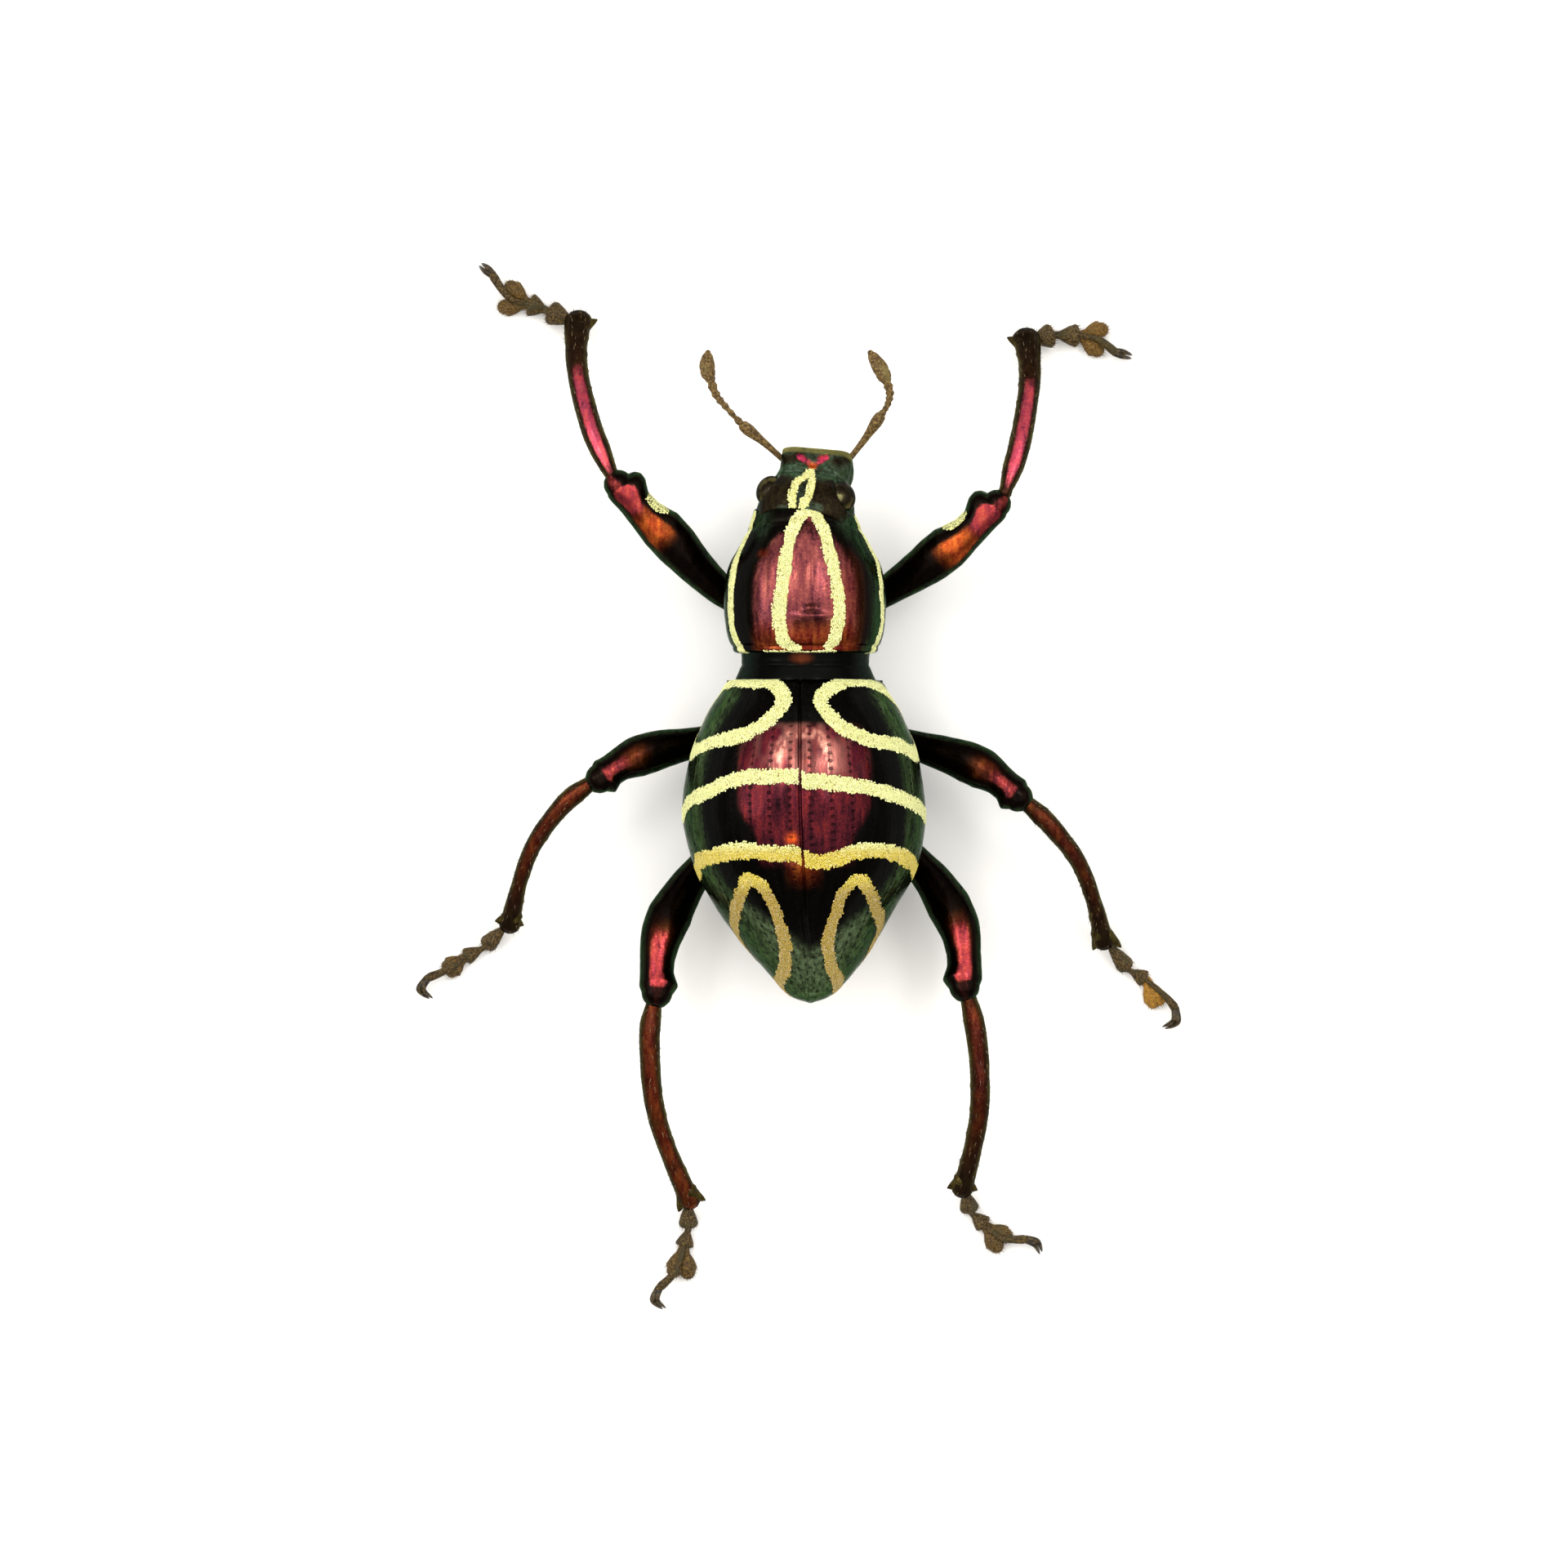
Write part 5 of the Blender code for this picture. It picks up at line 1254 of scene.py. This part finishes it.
# how far the last piece passes to one side of the middle of the lobes
STALK_ASIDE = {"mid_right": 0.30, "hind_left": -0.14, "hind_right": 0.10}
LOBE_SCALE = {"front": 1.0, "mid": 0.86, "hind": 1.0}
FOOT_SCALE = {"front": 1.0, "mid": 0.74, "hind": 0.80}
LOBE_SPREAD = {"front": 0.30, "mid": 0.10, "hind": 0.20}
# how far the claws bow to one side between their roots and their points
CLAW_BOW = {"front_left": 0.0, "front_right": 0.0, "mid_left": -0.24, "mid_right": 0.20, "hind_left": -0.20,
            "hind_right": 0.12}
# how much of the amber sole shows at the sides of the lobes
AMBER = {"front_left": 0.15, "front_right": 0.30, "mid_left": 0.1, "mid_right": 0.95, "hind_left": 0.1,
         "hind_right": 0.1}
WEDGE_SIZES = ((0.0, 0.10), (0.28, 0.13), (0.55, 0.28), (0.76, 0.36), (0.88, 0.32), (1.0, 0.13))
LOBE_SIZES = ((0.0, 0.09), (0.30, 0.11), (0.52, 0.22), (0.78, 0.285), (1.0, 0.22))
STALK_SIZES = ((0.0, 0.07), (0.4, 0.085), (0.9, 0.135), (1.0, 0.11))
CLAW_SIZES = ((0.0, 0.10), (0.4, 0.085), (0.8, 0.05), (1.0, 0.014))
ANKLE_Z = 0.62
SOLE_Z = 0.012
foot_fur, tree, shader = blank_material("foot_chitin")
place = object_place(tree)
fuzz = noise_at(tree, place, 18000.0, 5.0)
patches = noise_at(tree, place, 2600.0)
height = add(tree, "ShaderNodeSeparateXYZ", {0: place}).outputs[2]
brown = blended(tree, eased(tree, fuzz, 0.38, 0.68), (0.016, 0.009, 0.003, 1.0), (0.110, 0.070, 0.022, 1.0))
brown = blended(tree, eased(tree, patches, 0.45, 0.70), brown, (0.040, 0.032, 0.012, 1.0))
brown = blended(tree, eased(tree, height, 0.00016, 0.00003), brown, (0.42, 0.31, 0.15, 1.0))
golden = blended(tree, eased(tree, fuzz, 0.3, 0.7), (0.16, 0.07, 0.008, 1.0), (0.36, 0.18, 0.022, 1.0))
brown = blended(tree, mark_in(tree, "amber"), brown, golden)
roughness = eased(tree, fuzz, 0.2, 0.8, 0.40, 0.65)
set_surface(tree, shader, brown, roughness, (fuzz, 0.000014, 0.9), {"Specular IOR Level": 0.12})
claw_horn, tree, shader = blank_material("claw_horn")
streaks = noise_at(tree, object_place(tree), 9000.0, 3.0)
horn = blended(tree, eased(tree, streaks, 0.35, 0.7), (0.012, 0.009, 0.004, 1.0), (0.07, 0.045, 0.018, 1.0))
roughness = eased(tree, streaks, 0.3, 0.8, 0.22, 0.34)
set_surface(tree, shader, horn, roughness, None, {"Specular IOR Level": 0.15, "Coat Weight": 0.08})
foot_skins = {}
for leg, joints in FEET.items():
    pair = leg.split("_")[0]
    thick = FOOT_SCALE[pair]
    ankle = np.array([*LEGS[leg][1][-1][:2], ANKLE_Z])
    first, second, third, tail, tip = (np.array([*joint, 0.0]) for joint in joints)
    first_top, second_top = first + [0, 0, 0.34 * thick], second + [0, 0, 0.31 * thick]
    wedge = np.array(WEDGE_SIZES) * [1.0, thick]
    lobe = np.array(LOBE_SIZES) * [1.0, LOBE_SCALE[pair]]
    along = unit(third - second)
    beside = np.array([-along[1], along[0], 0.0])
    skins = [
        tube((ankle, first_top), wedge, 18, 22, flat=0.85)[0],
        tube((first_top, second_top), wedge * [1.0, 0.95], 18, 22, flat=0.85)[0],
    ]
    for sign in (-1, 1):
        start = second + beside * 0.06 * sign + [0, 0, 0.24]
        end = third + beside * LOBE_SPREAD[pair] * sign + along * 0.02 + [0, 0, 0.21]
        skins.append(tube((start, end), lobe, 18, 24, flat=0.8)[0])
    skins = [np.concatenate([rows[..., :2], np.maximum(rows[..., 2:], SOLE_Z)], axis=-1) for rows in skins]
    over_lobes = third + beside * STALK_ASIDE.get(leg, 0.0) + [0, 0, 0.46]
    skins.append(tube((second + [0, 0, 0.3], over_lobes, tail + [0, 0, 0.40]), STALK_SIZES, 26, 18)[0])
    foot_skins[leg] = skins
    shown = (0.0, 0.0, AMBER[leg], AMBER[leg], 0.0)
    amber = [np.full(rows.shape[:2], value) for rows, value in zip(skins, shown)]
    foot = piece("foot_" + leg, [shell(rows) for rows in skins], foot_fur, {"amber": amber})
    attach(foot, "root")
    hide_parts("tarsus_" + leg)
    reach = tip - tail
    aside = unit(np.array([-reach[1], reach[0], 0.0]))
    claw_skins = []
    for sign in (-1, 1):
        root = tail + aside * 0.03 * sign + [0, 0, 0.38]
        bend = (tail + tip) / 2 + aside * (0.07 * sign + CLAW_BOW[leg]) + [0, 0, 0.42]
        point = tip + aside * 0.05 * sign + [0, 0, 0.12]
        claw_skins.append(shell(tube((root, bend, point), CLAW_SIZES, 20, 14)[0]))
    claws = piece("claws_" + leg, claw_skins, claw_horn)
    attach(claws, "root")

# The scales
# Small flat oval scales, pale yellow at the front and golden at the rear, lie over one another like tiles in
# the bands. Each is rooted at its front end in the chitin and its free end points to the rear.
SCALE_LENGTH = 0.070
SCALE_WIDTH = 0.056
SCALE_THICK = 0.006
SCALE_SPACING = 0.036
SCALE_OUTLINE = ((0.0, 0.0), (0.28, 0.46), (0.75, 0.46), (1.0, 0.0), (0.75, -0.46), (0.28, -0.46))
SCALE_POLES = ((0.55, 0.0, 1.0), (0.5, 0.0, -0.7))
BAKE_PATCH = 0.003
BAKE_EDGE = 0.004
THIGH_SCALE_SIZE = 0.9
THIGH_TONE = 0.12


def spread_on(rows, out, chance, spacing, seed, tries):
    """Roots spread evenly over a skin where a chance allows, with their facings and places on the unwrap."""
    dice = np.random.default_rng(seed)
    count, around = rows.shape[:2]
    after = np.roll(rows, -1, axis=1)
    area = np.linalg.norm(np.cross(after[:-1] - rows[:-1], rows[1:] - rows[:-1]), axis=-1)
    weight = area * np.clip((chance[:-1] + chance[1:]) / 2, 0, 1)
    flat = (weight / weight.sum()).ravel()
    i, j = np.divmod(dice.choice(flat.size, size=tries, p=flat), around)
    a, b = dice.random(tries)[:, None], dice.random(tries)[:, None]
    k = (j + 1) % around

    def between(grid):
        low = grid[i, j] * (1 - a) + grid[i, k] * a
        high = grid[i + 1, j] * (1 - a) + grid[i + 1, k] * a
        return low * (1 - b) + high * b

    spots, ways = between(rows), between(out)
    kept, taken = [], {}
    for index, spot in enumerate(spots.tolist()):
        key = tuple(int(value // spacing) for value in spot)
        near = [other for dx in (-1, 0, 1) for dy in (-1, 0, 1) for dz in (-1, 0, 1)
                for other in taken.get((key[0] + dx, key[1] + dy, key[2] + dz), ())]
        if all((spot[0] - x) ** 2 + (spot[1] - y) ** 2 + (spot[2] - z) ** 2 > spacing ** 2 for x, y, z in near):
            taken.setdefault(key, []).append(spot)
            kept.append(index)
    unwrap = np.stack([(j + a[:, 0]) / around, (i + b[:, 0]) / count], axis=-1)
    return spots[kept], ways[kept], unwrap[kept]


def small_pieces(name, points, faces, patch, unwrap, material, marks):
    """One object of many small closed pieces, each with its own patch of the bake map and its own marks."""
    count, corners = points.shape[:2]
    faces = (np.asarray(faces)[None] + (np.arange(count) * corners)[:, None, None]).reshape(-1, 3)
    mesh = bpy.data.meshes.new(name)
    mesh.from_pydata((points.reshape(-1, 3) * MM).tolist(), [], faces.tolist())
    places = np.clip(unwrap, BAKE_EDGE, 1 - BAKE_EDGE)[:, None] + (np.asarray(patch) * BAKE_PATCH)[None]
    bake = mesh.uv_layers.new(name="OFBake")
    bake.data.foreach_set("uv", places.reshape(-1, 2)[faces.ravel()].astype(np.float32).ravel())
    for key, values in marks.items():
        set_mark(mesh, key, np.repeat(values, corners))
    mesh.materials.append(material)
    return set_out(name, mesh)


def scale_coat(name, roots, heading, material, tones, seed, size=1.0):
    """Small closed plates lying over one another."""
    spots, ways, unwrap = roots
    dice = np.random.default_rng(seed)
    count = len(spots)
    ways = unit(ways)
    heading = np.broadcast_to(heading, spots.shape) + dice.normal(0, 0.16, spots.shape)
    lay = unit(heading - ways * np.einsum("ij,ij->i", heading, ways)[:, None])
    beside = np.cross(ways, lay)
    sides = len(SCALE_OUTLINE)
    local = np.array([*((*spot, 0.0) for spot in SCALE_OUTLINE), *SCALE_POLES])
    grown = dice.uniform(0.85, 1.18, (count, 1, 1)) * size
    tilt = dice.uniform(0.06, 0.20, (count, 1, 1))
    long = local[None, :, :1] * SCALE_LENGTH * grown
    wide = local[None, :, 1:2] * SCALE_WIDTH * grown
    high = local[None, :, 2:] * SCALE_THICK + long * tilt + 0.004
    points = spots[:, None] + lay[:, None] * (long - SCALE_LENGTH * 0.5)
    points = points + beside[:, None] * wide + ways[:, None] * high
    pairs = [(ring, (ring + 1) % sides) for ring in range(sides)]
    plate = [(sides, after, ring) for ring, after in pairs] + [(*pair, sides + 1) for pair in pairs]
    marks = {"tone": tones, "shade": dice.random(count)}
    made = small_pieces(name, points, plate, local[:, :2] - [0.5, 0.0], unwrap, material, marks)
    made.data.shade_smooth()
    return made


scale_paint, tree, shader = blank_material("yellow_scales")
tone, shade = mark_in(tree, "tone"), mark_in(tree, "shade")
ribs = noise_at(tree, object_place(tree), 40000.0)
yellow = blended(tree, eased(tree, tone, 0.0, 0.5), (0.84, 0.86, 0.37, 1.0), (0.72, 0.58, 0.085, 1.0))
yellow = blended(tree, eased(tree, tone, 0.5, 1.0), yellow, (0.43, 0.30, 0.050, 1.0))
paler = blended(tree, 1.0, yellow, (0.12, 0.12, 0.16, 1.0), "ADD")
yellow = blended(tree, eased(tree, shade, 0.6, 1.0), yellow, paler)
yellow = blended(tree, eased(tree, shade, 0.05, 0.0), yellow, (0.40, 0.33, 0.10, 1.0))
roughness = eased(tree, ribs, 0.2, 0.8, 0.38, 0.58)
set_surface(tree, shader, yellow, roughness, (ribs, 0.000002, 0.6), {"Specular IOR Level": 0.25})
COATS = (
    ("elytra_scales", elytra_rows, elytra_out, elytra_gap, "elytra", 41, 90000),
    ("pronotum_scales", prono_rows, prono_out, prono_gap, "pronotum", 42, 34000),
    ("head_scales", head_rows, head_out, head_gap, "head", 43, 7000),
)
for name, rows, out, gap, slot, seed, tries in COATS:
    roots = spread_on(rows, out, step_between(0.015, -0.02, gap), SCALE_SPACING, seed, tries)
    tones = golden_towards_rear(roots[0][:, 1]) + (HEAD_TONE if slot == "head" else 0.0)
    coat = scale_coat(name, roots, (0.0, -1.0, 0.0), scale_paint, tones, seed)
    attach(coat, "root")


def limb_direction(spots, rows):
    """The way along a limb at each root."""
    middles = rows.mean(axis=1)
    nearest = np.argmin(np.linalg.norm(spots[:, None] - middles[None], axis=-1), axis=1)
    return unit(np.gradient(middles, axis=0)[nearest])


# a small patch of the same scales lies in the narrow part of each front thigh, on its inner side
for leg, side in (("front_left", -1), ("front_right", 1)):
    rows, out, shares = leg_grids["thigh_" + leg]
    inner = unit((rows.mean(axis=1, keepdims=True) - rows[:, :1]) * side)
    patch = step_between(0.45, 0.75, (out * inner).sum(axis=-1))
    patch = patch * step_between(0.070, 0.030, np.abs(shares - 0.79))
    chance = np.where(patch * (1.0 + 0.8 * grain(rows, 0.09, 61)) > 0.5, 1.0, 0.0)
    roots = spread_on(rows, out, chance, SCALE_SPACING, 62, 1500)
    tones = np.full(len(roots[0]), THIGH_TONE)
    heading = limb_direction(roots[0], rows)
    coat = scale_coat("thigh_scales_" + leg, roots, heading, scale_paint, tones, 63, THIGH_SCALE_SIZE)
    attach(coat, "root")

# The bristles
# Short stiff pale hairs stand along the lower edges of the legs, on the feelers and under the feet.
BRISTLE_UV = ((-0.5, -0.5), (0.5, -0.5), (0.0, 0.5), (0.0, 0.0))
SPIKE = ((0, 1, 3), (1, 2, 3), (2, 0, 3), (2, 1, 0))
bristle_horn, tree, shader = blank_material("bristles")
shade = mark_in(tree, "shade")
hair = blended(tree, shade, (0.040, 0.022, 0.008, 1.0), (0.20, 0.13, 0.05, 1.0))
set_surface(tree, shader, hair, eased(tree, shade, 0.0, 1.0, 0.35, 0.55))


def bristle_coat(name, roots, length, radius, seed):
    """Thin closed three-sided spikes that lean along the limb."""
    spots, ways, unwrap, ahead = roots
    dice = np.random.default_rng(seed)
    ways = unit(ways)
    aim = unit(ways * 0.55 + ahead + dice.normal(0, 0.22, spots.shape))
    side = unit(np.cross(aim, ways + 0.01))
    other = np.cross(aim, side)
    turn = (np.arange(3) * 2 * np.pi / 3)[:, None]
    foot = spots - ways * 0.01
    base = foot[:, None] + radius * (side[:, None] * np.cos(turn) + other[:, None] * np.sin(turn))
    base[..., 2] = np.maximum(base[..., 2], 0.008)
    tips = foot + aim * (length * dice.uniform(0.6, 1.2, len(spots)))[:, None]
    tips[:, 2] = np.maximum(tips[:, 2], 0.01)
    points = np.concatenate([base, tips[:, None]], axis=1)
    marks = {"shade": dice.random(len(spots))}
    return small_pieces(name, points, SPIKE, BRISTLE_UV, unwrap, bristle_horn, marks)


def roots_on(skins, seed, tries):
    """Roots all over several skins, each with the way along its own skin."""
    parts = []
    for rows in skins:
        spots, ways, unwrap = spread_on(rows, facing(rows), np.ones(rows.shape[:2]), 0.07, seed, tries)
        parts.append((spots, ways, unwrap, limb_direction(spots, rows)))
    return [np.vstack(group) for group in zip(*parts)]


for leg in LEGS:
    rows, out, shares = leg_grids["shin_" + leg]
    roots = spread_on(rows, out, 0.15 + 0.85 * step_between(0.1, -0.5, out[..., 2]), 0.13, 51, 900)
    roots = (*roots, limb_direction(roots[0], rows))
    coat = bristle_coat("bristles_" + leg, roots, 0.16, 0.010, 52)
    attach(coat, "root")
    coat = bristle_coat("foot_hairs_" + leg, roots_on(foot_skins[leg][:4], 53, 700), 0.13, 0.009, 54)
    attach(coat, "root")
for side, skins in feeler_skins.items():
    coat = bristle_coat("feeler_hairs_" + side, roots_on(skins, 55, 260), 0.09, 0.007, 56)
    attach(coat, "root")
